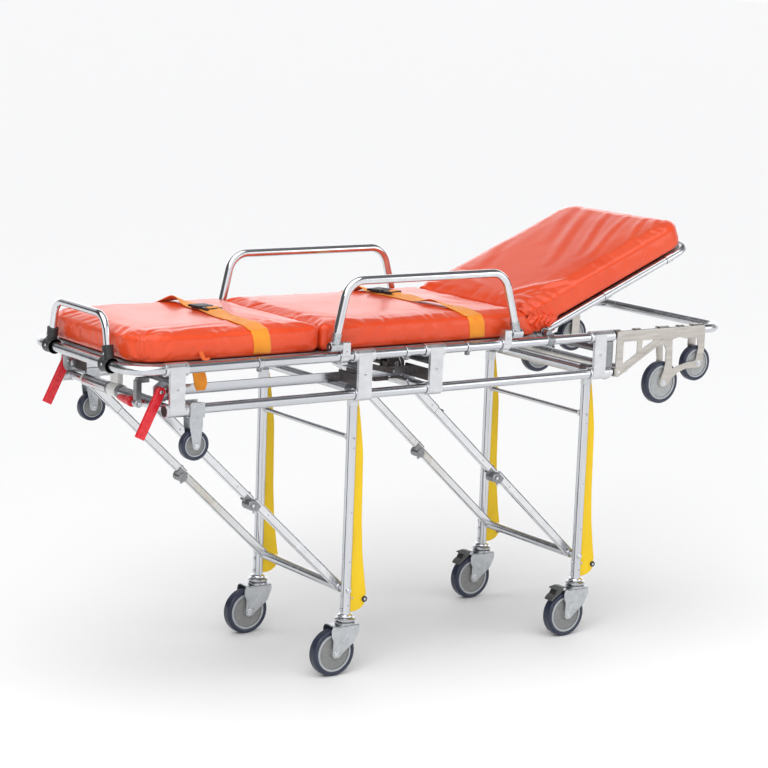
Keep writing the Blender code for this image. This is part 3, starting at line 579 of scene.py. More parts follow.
piece("foot_bow_tube", "frame", [(tube(bend([(-0.8005, -YR, ZU), (-X_END, -YR, ZU), (-X_END, YR, ZU), (-0.8005, YR, ZU)],
                                            [0, 0.083, 0.083, 0], 26), R_RAIL, 48), "alu")], "foot_bow")
piece("head_bow_tube", "frame", [(tube(bend([(0.4855, -YR, ZU), (X_HEAD, -YR, ZU), (X_HEAD, YR, ZU), (0.4855, YR, ZU)],
                                            [0, 0.055, 0.055, 0], 22), R_RAIL, 48), "alu")], "head_bow")
for nm, s in SIDES:
    y = s * YR
    P = [(tube([(-0.7995, y, ZU), (-0.30, y, ZU), (0.4845, y, ZU)], R_RAIL, 48), "alu_x")]
    for cx in (-0.588, -0.149, 0.045):
        P.append((sleeve((cx - 0.0060, y, ZU), (cx + 0.0060, y, ZU), 0.0150, 0.0120), "alu"))
        P.append((boxs(s, cx - 0.0052, cx + 0.0052, 0.2645, 0.2755, ZU - 0.0215, ZU - 0.0125, 0.0015), "cast"))
        P += [seam_ring(cx - 0.0064, y, ZU, 0.01285), seam_ring(cx + 0.0064, y, ZU, 0.01285)]
    for cx, d in ((-0.345, -1), (0.165, 1)):
        P.append((sleeve((cx - 0.0122, y, ZU), (cx + 0.0122, y, ZU), 0.0162, 0.0120), "plate"))
        yz = fil([(s * 0.2700, 0.8560), (s * 0.2893, 0.8480), (s * 0.2893, 0.8880), (s * 0.2712, 0.8880), (s * 0.2640, 0.8650)],
                 0.004)
        P.append((prism(yz, cx - 0.0118, cx + 0.0118, "x", 0.0008), "plate"))
        yz = fil([(s * 0.2600, 0.8350), (s * 0.2800, 0.8350), (s * 0.2800, 0.8290), (s * 0.2640, 0.8290)], 0.002)
        P.append((prism(yz, cx - 0.0100, cx + 0.0100, "x", 0.0006), "plate"))
        P.append((cyl((cx, s * SR_Y, SR_Z), (cx + d * 0.0485, s * SR_Y, SR_Z), 0.0040, 24), "screw"))
        P += screw((cx, s * 0.2893, 0.8650), (0, s, 0), 0.0036, 0.0010)
        P += [seam_ring(cx - 0.0126, y, ZU, 0.0129), seam_ring(cx + 0.0126, y, ZU, 0.0129)]
    lug = fil([(BR_X - 0.011, 0.8500), (BR_X + 0.011, 0.8500), (BR_X + 0.0095, BR_Z + 0.0085), (BR_X - 0.0095, BR_Z + 0.0085)],
              0.008)
    y0, y1 = sorted((s * 0.2560, s * 0.2690))
    P.append((prism(lug, y0, y1), "cast"))
    P.append((sleeve((BR_X - 0.011, y, ZU), (BR_X + 0.011, y, ZU), 0.0150, 0.0120), "cast"))
    P.append((cyl((BR_X, s * 0.2270, BR_Z), (BR_X, s * 0.2620, BR_Z), 0.0050, 28), "screw"))
    piece("upper_rail_tube_" + nm, "frame", P, "upper_rail_" + nm)
    P = [(tube([(-0.850, y, ZL), (0.0, y, ZL), (0.5375, y, ZL)], R_RAIL, 48), "alu_x"),
         (cyl((-0.8502, y, ZL), (-0.8478, y, ZL), 0.0118, 40), "black")]
    piece("lower_rail_tube_" + nm, "frame", P, "lower_rail_" + nm)


# -------------------------------------------------------- frame: cross frames
def rrect(a0, a1, b0, b1, r, seg=5):
    return fil([(a0, b0), (a1, b0), (a1, b1), (a0, b1)], r, seg)


def channel(x0, x1, s, ya, yb_, z0, z1):
    """Open side channel that joins two cross frames, with turned rims."""
    m = s * (ya + yb_) / 2
    h = (z1 - z0) / 2
    zc = (z0 + z1) / 2
    w = (yb_ - ya) / 2
    t = 0.0016
    prof = [(-h, w), (-h, -w), (-h + t, -w), (-h + t, w - t), (h - t, w - t), (h - t, -w), (h, -w), (h, w)]
    prof = [(a, b * s) for a, b in prof]
    return section((x0, m, zc), (x1, m, zc), prof)


def cross_frame(name, xc, x_piv, su, sl, extra, more=()):
    P = [(cyl((x_piv, -0.262, ZL), (x_piv, 0.262, ZL), R_AXLE, 40), "alu")]
    for nm, s in SIDES:
        y = s * YR
        # flat bracket plate on the outer side, with a folded lip at each edge
        y0, y1 = sorted((s * 0.2850, s * 0.2880))
        P.append((plate(rrect(xc - 0.0205, xc + 0.0205, 0.7420, 0.8570, 0.0030), y0, y1), "plate"))
        for e in (-1, 1):
            x0, x1 = sorted((xc + e * 0.0187, xc + e * 0.0205))
            P.append((boxs(s, x0, x1, 0.2790, 0.2870, 0.7620, 0.8380, 0.0006), "plate"))
        P.append((sleeve((su[0], y, ZU), (su[1], y, ZU), R_SLEEVE, 0.0122), "plate"))
        P.append((sleeve((sl[0], y, ZL), (sl[1], y, ZL), R_SLEEVE, 0.0122), "plate"))
        for xx, z in ((su[0], ZU), (su[1], ZU), (sl[0], ZL), (sl[1], ZL)):
            P.append(seam_ring(xx + (0.0003 if xx in (su[1], sl[1]) else -0.0003), y, z, 0.0131, 0.0010))
        for xx in (su[0] + 0.010, su[1] - 0.010):
            a = math.radians(38)
            P += dot((xx, y + s * R_SLEEVE * math.cos(a), ZU + R_SLEEVE * math.sin(a)), (0, s * math.cos(a), math.sin(a)))
        for xx in (sl[0] + 0.008, sl[1] - 0.008):
            P += dot((xx, y + s * R_SLEEVE * 0.98, ZL + R_SLEEVE * 0.2), (0, s * 0.98, 0.2), 0.0016)
        P += screw((xc, s * 0.2880, 0.8020), (0, s, 0), 0.0042, 0.0020)
        P += extra(s)
    # rod under the deck in the darkened copy of alu: painted shade
    P.append((cyl((xc, -0.2860, 0.8180), (xc, 0.2860, 0.8180), 0.0100, 36), "alu_painted_shade"))
    P += more
    return piece(name + "_set", "frame", P, name)


def foot_extra(s):
    P = [(boxs(s, -0.8290, -0.8180, 0.1905, 0.2860, 0.7700, 0.8010, 0.0012), "dark")]
    # pivot bracket of the release lever: bent sheet with a slot
    y0, y1 = sorted((s * 0.2340, s * 0.2378))
    P.append((plate(fil([(-0.8620, 0.7780), (-0.8560, 0.7665), (-0.8260, 0.7660), (-0.8260, 0.8160), (-0.8460, 0.8160),
                         (-0.8620, 0.8040)], 0.005), y0, y1,
                    [rrect(-0.8420, -0.8330, 0.7760, 0.7990, 0.0042)]), "zinc"))
    P.append((boxs(s, -0.8330, -0.8255, 0.2350, 0.2860, 0.7720, 0.8140, 0.0012), "zinc"))
    P += screw((-0.8480, s * 0.2338, 0.7920), (0, -s, 0), 0.0044, 0.0020)
    P.append((channel(-0.8200, -0.3023, s, 0.1965, 0.2050, 0.7720, 0.7960), "alu_x"))
    return P


cross_frame("cross_frame_foot", X_FB, X_FB, (-0.8530, -0.7905), (-0.8505, -0.7895), foot_extra, [
    (sleeve((X_FB, 0.0000, ZL), (X_FB, 0.0420, ZL), 0.0186, 0.0158), "white"),
    (sleeve((X_FB, -0.0120, ZL), (X_FB, 0.0000, ZL), 0.0176, 0.0158), "cast"),
    (sleeve((X_FB, 0.0420, ZL), (X_FB, 0.0540, ZL), 0.0176, 0.0158), "cast"),
    (box(X_FB - 0.0080, X_FB + 0.0080, 0.0000, 0.0400, 0.7675, 0.8120, 0.0025), "white"),
    (box(-0.8640, -0.8480, -0.1560, -0.1400, 0.7560, 0.8060, 0.0020), "cast"),
    (sleeve((-0.8560, -0.1570, ZL - 0.001), (-0.8560, -0.1390, ZL - 0.001), 0.0100, 0.0054), "zinc"),
    (box(-0.8600, -0.8262, -0.1540, -0.1420, 0.7980, 0.8120, 0.0015), "cast"),
    (cyl((X_FB, -0.1900, ZL), (X_FB, -0.1830, ZL), 0.0150, 40), "white"),
    (cyl((X_FB, 0.1830, ZL), (X_FB, 0.1900, ZL), 0.0150, 40), "white"),
])
cross_frame("cross_frame_mid_foot", X_M1, X_LF, (-0.3160, -0.2520), (-0.3080, -0.2620),
            lambda s: [(boxs(s, -0.3020, -0.2950, 0.1905, 0.2860, 0.7700, 0.8010), "dark"),
                       (boxs(s, -0.2685, -0.2640, 0.1750, 0.2860, 0.7700, 0.8010), "dark")])
cross_frame("cross_frame_mid_head", X_M2, X_M2, (-0.0950, -0.0330), (-0.0870, -0.0410),
            lambda s: [(boxs(s, -0.0840, -0.0770, 0.1750, 0.2860, 0.7700, 0.8010), "dark"),
                       (channel(-0.2637, -0.0800, s, 0.1800, 0.1880, 0.7720, 0.7960), "alu_x")])


def head_extra(s):
    P = [(boxs(s, 0.5000, 0.5360, 0.2620, 0.2800, 0.7640, 0.8340, 0.0015), "cast"),
         (boxs(s, 0.5220, 0.5355, 0.2200, 0.2630, 0.7270, 0.7570, 0.0015), "truss")]
    for zz in (0.7820, 0.8180):
        P += screw((0.5360, s * 0.2710, zz), (1, 0, 0), 0.0040, 0.0018)
    if s < 0:
        prof = fil([(-0.0132, -0.0160), (0.0132, -0.0160), (0.0132, 0.0160), (-0.0132, 0.0160)], 0.003)
        P.append((section((0.5348, -0.2450, 0.7420), (0.5348, 0.2450, 0.7420), prof, up=(0, 0, 1)), "truss"))
        P.append((box(0.5245, 0.5452, -0.2456, -0.2440, 0.7295, 0.7545, 0), "dark"))
        P.append((box(0.5245, 0.5452, 0.2440, 0.2456, 0.7295, 0.7545, 0), "dark"))
    return P


cross_frame("cross_frame_head", X_HB, X_LH, (0.4560, 0.5375), (0.4600, 0.5300), head_extra)

# latch mechanism between the middle cross frames
side_ = fil([(-0.1400, 0.7620), (-0.0865, 0.7605), (-0.0865, 0.8060), (-0.1040, 0.8320), (-0.1400, 0.8320)], 0.004)
P = [(plate(side_, -0.1760, -0.1730), "dark"), (plate(side_, -0.1430, -0.1400), "dark"),
     (box(-0.1370, -0.0900, -0.1735, -0.1425, 0.7640, 0.8060, 0.002), "dark"),
     (box(-0.1760, -0.1300, -0.1700, -0.1520, 0.7560, 0.7715, 0.002), "dark"),
     (cyl((-0.1120, -0.1500, 0.8000), (-0.1120, -0.1782, 0.8000), 0.0070, 28), "screw"),
     (cyl((-0.1180, -0.1600, 0.7950), (-0.1180, 0.1600, 0.7950), 0.0060, 28), "dark"),
     (section((-0.2640, -0.1955, 0.8160), (-0.1300, -0.1955, 0.7840),
              fil([(-0.0075, -0.0018), (0.0075, -0.0018), (0.0075, 0.0018), (-0.0075, 0.0018)], 0.0008)), "dark"),
     (cyl((-0.1330, -0.1977, 0.7848), (-0.1330, -0.1742, 0.7848), 0.0045, 24), "screw"),
     (tube(bend([(-0.1080, -0.1778, 0.8220), (-0.0950, -0.1778, 0.7920), (-0.1320, -0.1778, 0.7720)], [0, 0.008, 0], 8), 0.0016,
           12, up=(0, 1, 0)), "screw")]
for cx, cz in ((-0.1320, 0.8230), (-0.0950, 0.7700), (-0.1330, 0.7690)):
    P += screw((cx, -0.1760, cz), (0, -1, 0), 0.0034, 0.0016)
piece("latch_mechanism", "frame", P, "latch_housing")

# deck: ribbed sheet on cross ribs
P = [(plate(fil([(0.298, -0.2450), (0.298, 0.2450), (-0.872, 0.2450), (-0.905, 0.2120), (-0.905, -0.2120), (-0.872, -0.2450)],
                0.012), Z_DECK - 0.0030, Z_DECK + 0.0034, axis="z", bev=0.001), "deck")]
for cx in (-0.700, -0.588, -0.440, -0.149, 0.045, 0.230):
    prof = fil([(-0.014, -0.0070), (0.014, -0.0070), (0.014, 0.0070), (-0.014, 0.0070)], 0.003)
    # cross ribs under the deck sheet in the darkened copy of alu: painted shade
    P.append((section((cx, -0.2535, 0.8490), (cx, 0.2535, 0.8490), prof, up=(0, 0, 1)), "alu_painted_shade"))
for k in range(9):
    yy = -0.200 + 0.05 * k
    P.append((section((-0.880, yy, Z_DECK - 0.0030), (0.285, yy, Z_DECK - 0.0030),
                      fil([(-0.005, -0.0015), (0.005, -0.0015), (0.005, 0.001), (-0.005, 0.001)], 0.001), up=(0, 0, 1)), "deck"))
piece("bed_deck_panel", "frame", P, "bed_deck")

# ------------------------------------------------- head loading-wheel brackets
for nm, s in SIDES:
    o0, o1 = sorted((s * 0.2845, s * 0.2878))
    i0, i1 = sorted((s * 0.2518, s * 0.2548))
    outer = fil([(0.5420, 0.8620), (0.8645, 0.8620), (0.8655, 0.8000), (0.8610, 0.7540), (0.8520, 0.7425), (0.8400, 0.7425),
                 (0.8000, 0.7430), (0.7720, 0.7345), (0.7480, 0.7180), (0.7360, 0.7020), (0.7260, 0.6965), (0.7120, 0.6965),
                 (0.7030, 0.7070), (0.7170, 0.7400), (0.7220, 0.7620), (0.7230, 0.8000), (0.7120, 0.8190, 0.010),
                 (0.6900, 0.8130), (0.5590, 0.7395), (0.5460, 0.7340), (0.5408, 0.7460)], 0.006)
    holes = [fil([(0.5660, 0.8325), (0.6160, 0.8325), (0.6160, 0.7985), (0.5665, 0.7700)], 0.004),
             fil([(0.6340, 0.8325), (0.6800, 0.8325, 0.002), (0.6340, 0.8085)], 0.003),
             fil([(0.7440, 0.8290), (0.7700, 0.8335, 0.02), (0.8000, 0.8275, 0.02), (0.8370, 0.8290), (0.8420, 0.8000, 0.02),
                  (0.8350, 0.7620), (0.7980, 0.7600), (0.7640, 0.7510), (0.7480, 0.7440), (0.7475, 0.7640), (0.7460, 0.8000)],
                 0.005)]
    P = [(plate(outer, o0, o1, holes, bev=0.0007), "truss")]
    # pressed stiffening edge along the diagonal
    P.append((section((0.5560, s * 0.2886, 0.7440), (0.7100, s * 0.2886, 0.8310),
                      fil([(-0.0020, -0.0010), (0.0020, -0.0010), (0.0020, 0.0010), (-0.0020, 0.0010)], 0.0008),
                      up=(0, 1, 0)), "truss"))
    for pts in ([(0.7060, 0.8634), (0.7360, 0.8634), (0.7420, 0.7700), (0.7350, 0.7060), (0.7120, 0.6970), (0.7040, 0.7080),
                 (0.7200, 0.7700)],
                [(0.8340, 0.8634), (0.8640, 0.8634), (0.8600, 0.7520), (0.8400, 0.7420), (0.8320, 0.7540)]):
        P.append((plate(fil(pts, 0.006), i0, i1, bev=0.0007), "truss"))
    for tx, w in ((0.5520, 0.020), (0.6250, 0.018), (0.7210, 0.034), (0.7850, 0.018), (0.8480, 0.036)):
        c = Vector((s * YR, ZU))
        path = [(s * 0.2861, 0.8520), (s * 0.2861, 0.8570)]
        for k in range(9):
            a = math.radians(20 + 140 * k / 8)
            path.append((c.x + s * 0.0155 * math.cos(a), c.y + 0.0155 * math.sin(a)))
        path += [(s * 0.2535, 0.8500), (s * 0.2535, 0.8400)]
        P.append((prism(thick(path, 0.0022), tx - w / 2, tx + w / 2, "x", 0.0004), "truss"))
        P += dot((tx, s * 0.2855, 0.8560), (0, s, 0.25), 0.0017) if w < 0.03 else []
    for ax, az in ((A_X, A_Z), (B_X, B_Z)):
        P.append((cyl((ax, s * 0.2510, az), (ax, s * 0.2890, az), 0.0050, 32), "screw"))
        P.append((rev((ax, s * 0.2876, az), (0, s, 0), [(0, 0), (0.0082, 0), (0.0082, 0.0012), (0.0050, 0.0016),
                                                        (0.0046, 0.0030), (0, 0.0032)], 6 * 4), "screw"))
    P.append((boxs(s, 0.5400, 0.5460, 0.2600, 0.2850, 0.7370, 0.7620, 0.0012), "truss"))
    P += screw((0.5535, s * 0.2878, 0.7480), (0, s, 0), 0.0050, 0.0020, False)
    P += screw((0.5535, s * 0.2878, 0.8480), (0, s, 0), 0.0034, 0.0014)
    piece("head_bracket_plate_" + nm, "frame", P, "head_bracket_" + nm)
piece("head_cross_bar", "frame", [(tube([(0.5800, -0.2838, 0.7560), (0.5800, 0.0, 0.7560), (0.5800, 0.2838, 0.7560)], 0.0095, 36),
                                   "alu")], "head_cross_tube")


# --------------------------------------------------------------------- wheels
def wheel_parts(x, y, z, R, hw, hub, disc="disc", rr=0.80, spokes=0):
    c = (x, y, z)
    P = []
    ri = R * rr
    prof = [(ri - 0.001, -hw + 0.003), (ri, -hw + 0.0016)]
    for k in range(9):                      # rounded shoulders
        a = math.radians(-90 + 90 * k / 8)
        q = R * 0.12
        prof.append((R - q + q * math.cos(a) - 0.0003 * (k < 8), -hw + q * 0.75 + q * 0.75 * math.sin(a) + 0.0))
    prof += [(R, -hw * 0.35), (R, hw * 0.35)]
    for k in range(9):
        a = math.radians(90 * k / 8)
        q = R * 0.12
        prof.append((R - q + q * math.cos(a) - 0.0003 * (k > 0), hw - q * 0.75 + q * 0.75 * math.sin(a)))
    prof += [(ri, hw - 0.0016), (ri - 0.001, hw - 0.003)]
    P.append((rev(c, (0, 1, 0), prof, 72), "tread"))
    rj = R * (rr - 0.115)
    prof = [(rj, -hw + 0.0040), (rj + 0.0004, -hw + 0.0012), (rj + 0.0018, -hw + 0.0004), (ri - 0.0016, -hw + 0.0004),
            (ri - 0.0001, -hw + 0.0022), (ri - 0.0001, hw - 0.0022), (ri - 0.0016, hw - 0.0004), (rj + 0.0018, hw - 0.0004),
            (rj + 0.0004, hw - 0.0012), (rj, hw - 0.0040)]
    P.append((rev(c, (0, 1, 0), prof, 72), "ring"))
    h = hw - 0.0024
    prof = [(0.0056, -hub), (0.0125, -hub), (0.0135, -hub + 0.0008), (0.0145, -h - 0.0002), (0.0165, -h), (rj * 0.80, -h + 0.0012),
            (rj - 0.0012, -h + 0.0006), (rj + 0.0002, -h - 0.0004), (rj + 0.0002, h + 0.0004), (rj - 0.0012, h - 0.0006),
            (rj * 0.80, h - 0.0012), (0.0165, h), (0.0145, h + 0.0002), (0.0135, hub - 0.0008), (0.0125, hub), (0.0056, hub)]
    P.append((rev(c, (0, 1, 0), prof, 72), disc))
    # dark joint between disc and ring
    for k in (-1, 1):
        P.append((rev((x, y + k * (h + 0.0001), z), (0, k, 0), [(rj - 0.0006, 0), (rj + 0.0004, 0), (rj + 0.0004, 0.0006),
                                                                (rj - 0.0006, 0.0006)], 72), "seam"))
    # marks so that the turning shows: small moulded bosses
    for k in range(5):
        a = 2 * math.pi * k / 5 + 0.3
        rm = rj * 0.62
        for q in (-1, 1):
            P.append((rev((x + rm * math.sin(a), y + q * (h - 0.0012), z + rm * math.cos(a)), (0, q, 0),
                          [(0, 0), (R * 0.045, 0), (R * 0.045, 0.0010), (R * 0.035, 0.0014), (0, 0.0014)], 18), disc))
    return P


for nm, s in SIDES:
    piece("loading_wheel_a_" + nm, "loading_rear_" + nm, wheel_parts(A_X, s * YR, A_Z, A_R, 0.0125, 0.0140, "disc_l", 0.82),
          "loading_wheel_rear_" + nm)
    piece("loading_wheel_b_" + nm, "loading_front_" + nm, wheel_parts(B_X, s * YR, B_Z, B_R, 0.0120, 0.0140, "disc_l", 0.82),
          "loading_wheel_front_" + nm)
    # aux wheel disc in the darker disc grey: painted shade
    piece("aux_wheel_tyre_" + nm, "aux_" + nm, wheel_parts(-0.765, s * 0.266, 0.660, AUX_R, 0.0110, 0.0132, "disc", 0.76),
          "aux_wheel_" + nm)
    # two-screw clamp and forked legs
    P = [(boxs(s, -0.7880, -0.7480, 0.2505, 0.2525, 0.7290, 0.7690, 0.0008), "zinc"),
         (sleeve((-0.7880, s * YR, ZL), (-0.7480, s * YR, ZL), 0.0162, 0.0121), "zinc")]
    y0, y1 = sorted((s * 0.2862, s * 0.2884))
    P.append((plate(rrect(-0.7880, -0.7480, 0.7300, 0.7680, 0.004), y0, y1), "zinc"))
    P.append((boxs(s, -0.7860, -0.7500, 0.2510, 0.2880, 0.7290, 0.7320, 0.0008), "zinc"))
    cheek = fil([(-0.7860, 0.7420), (-0.7500, 0.7420), (-0.7496, 0.7080), (-0.7560, 0.6580), (-0.7600, 0.6500), (-0.7700, 0.6500),
                 (-0.7760, 0.6570), (-0.7850, 0.7080)], 0.005)
    for a, b in ((0.2495, 0.2517), (0.2803, 0.2825)):
        y0, y1 = sorted((s * a, s * b))
        P.append((plate(cheek, y0, y1), "zinc"))
    # pressed rib across the outer cheek
    y0, y1 = sorted((s * 0.2822, s * 0.2832))
    P.append((plate(rrect(-0.7780, -0.7570, 0.7130, 0.7170, 0.0018), y0, y1, bev=0.0004), "zinc"))
    P += screw((-0.7770, s * 0.2884, 0.7560), (0, s, 0), 0.0034, 0.0016)
    P += screw((-0.7590, s * 0.2884, 0.7560), (0, s, 0), 0.0034, 0.0016)
    P.append((cyl((-0.765, s * 0.2482, 0.660), (-0.765, s * 0.2843, 0.660), 0.0040, 24), "screw"))
    P += screw((-0.765, s * 0.2825, 0.660), (0, s, 0), 0.0056, 0.0024, False)
    piece("aux_fork_pressing_" + nm, "frame", P, "aux_fork_" + nm)


# ----------------------------------------------------------------- leg frames
def legs(tag, xl):
    body = "legs_" + tag
    P = [(cyl((xl, -0.2300, Z_BAR), (xl, 0.2300, Z_BAR), 0.0080, 32), "alu"),
         (cyl((xl, -0.2156, Z_ROD), (xl, 0.2156, Z_ROD), 0.0060, 32), "alu")]
    for nm, s in SIDES:
        y = s * Y_LEG
        P.append((tube([(xl, y, Z_LEG_END), (xl, y, 0.45), (xl, y, ZL)], R_LEG, 48, up=(0, 1, 0)), "alu_z"))
        # fluted seam lines along the tube, drawn as raised dark strips of painted shade
        for a in (205, 335, 155, 25):
            t = math.radians(a)
            P.append((section((xl + R_LEG * math.cos(t), y + R_LEG * math.sin(t), 0.1650),
                              (xl + R_LEG * math.cos(t), y + R_LEG * math.sin(t), 0.7300),
                              [(-0.0010, -0.0006), (0.0010, -0.0006), (0.0010, 0.00015), (-0.0010, 0.00015)],
                              up=(math.cos(t), math.sin(t), 0)), "alu_painted_shade"))
        # chromed cup above the castor
        P.append((rev((xl, y, Z_LEG_END + 0.0002), (0, 0, 1), [(0, 0), (0.0192, 0), (0.0202, 0.0012), (0.0202, 0.0036),
                                                               (0.0188, 0.0058), (0.0150, 0.0074), (0, 0.0078)], 48), "chrome"))
        P.append((sleeve((xl, s * 0.2000, ZL), (xl, s * 0.2325, ZL), 0.0170, 0.0120), "cast"))
        P.append((sleeve((xl, y, 0.7080), (xl, y, 0.7330), 0.0148, 0.0122), "alu"))
        # rod end caps and bolts
        P.append((cyl((xl, s * 0.2020, Z_ROD), (xl, s * 0.1960, Z_ROD), 0.0095, 32), "white"))
        P += screw((xl, s * (Y_LEG + R_LEG - 0.0004), Z_ROD), (0, s, 0), 0.0046, 0.0022)
        P += screw((xl, s * 0.2300, Z_BAR), (0, s, 0), 0.0062, 0.0022, False)
        for zz in (0.600, 0.430, 0.300):
            P += dot((xl + 0.0001, s * (Y_LEG + R_LEG - 0.0001), zz), (0, s, 0), 0.0016)
        for zz in (0.2060, 0.1720):
            P.append((cyl((xl - R_LEG + 0.001, y, zz), (xl - R_LEG - 0.0035, y, zz), 0.0042, 6 * 4), "screw"))
            P += dot((xl, s * (Y_LEG + R_LEG - 0.0001), zz + 0.012), (0, s, 0), 0.0018)
    piece("leg_tubes_" + tag, body, P, "leg_frame_" + tag)
    for nm, s in SIDES:
        y0, y1 = sorted((s * (Y_LEG - 0.0028), s * (Y_LEG + 0.0028)))
        poly = fil([(xl + 0.0120, 0.7220), (xl + 0.0150, 0.7220), (xl + 0.0262, 0.6500, 0.06), (xl + 0.0350, 0.5830, 0.06),
                    (xl + 0.0365, 0.5000, 0.2), (xl + 0.0380, 0.4060, 0.2), (xl + 0.0435, 0.3200, 0.12),
                    (xl + 0.0525, 0.2500, 0.10), (xl + 0.0612, 0.1940, 0.012), (xl + 0.0560, 0.1765, 0.02),
                    (xl + 0.0430, 0.1670, 0.02), (xl + 0.0280, 0.1635, 0.02), (xl + 0.0120, 0.1628)], 0.002, 8)
        P = [(plate(poly, y0, y1, bev=0.0014), "yellow")]
        # rolled outer edge
        edge = [(xl + 0.0150, 0.7200), (xl + 0.0256, 0.6500), (xl + 0.0342, 0.5830), (xl + 0.0357, 0.5000),
                (xl + 0.0372, 0.4060), (xl + 0.0427, 0.3200), (xl + 0.0517, 0.2500), (xl + 0.0590, 0.2060)]
        sm = []
        for i in range(len(edge) - 1):
            a, b = Vector(edge[i]), Vector(edge[i + 1])
            for k in range(5):
                sm.append(a.lerp(b, k / 5))
        sm.append(Vector(edge[-1]))
        sm = [sm[0]] + [(sm[i - 1] + sm[i] * 2 + sm[i + 1]) / 4 for i in range(1, len(sm) - 1)] + [sm[-1]]
        P.append((tube([(p.x, s * Y_LEG, p.y) for p in sm], 0.0036, 14, up=(0, 1, 0)), "yellow"))
        P.append((cyl((xl + 0.0560, s * (Y_LEG - 0.0070), 0.1930), (xl + 0.0560, s * (Y_LEG + 0.0070), 0.1930), 0.0080, 32, 0.0012),
                  "black"))
        P += screw((xl + 0.0560, s * (Y_LEG + 0.0068), 0.1930), (0, s, 0), 0.0036, 0.0010)
        for zz in (0.200,):
            P += screw((xl + 0.0185, s * (Y_LEG + 0.0027), zz), (0, s, 0), 0.0030, 0.0012)
        piece("guard_strip_%s_%s" % (tag, nm), body, P, "leg_guard_%s_%s" % (tag, nm))


legs("foot", X_LF)
legs("head", X_LH)

# --------------------------------------------------------------------- braces
KNEE_OFF = 0.0110


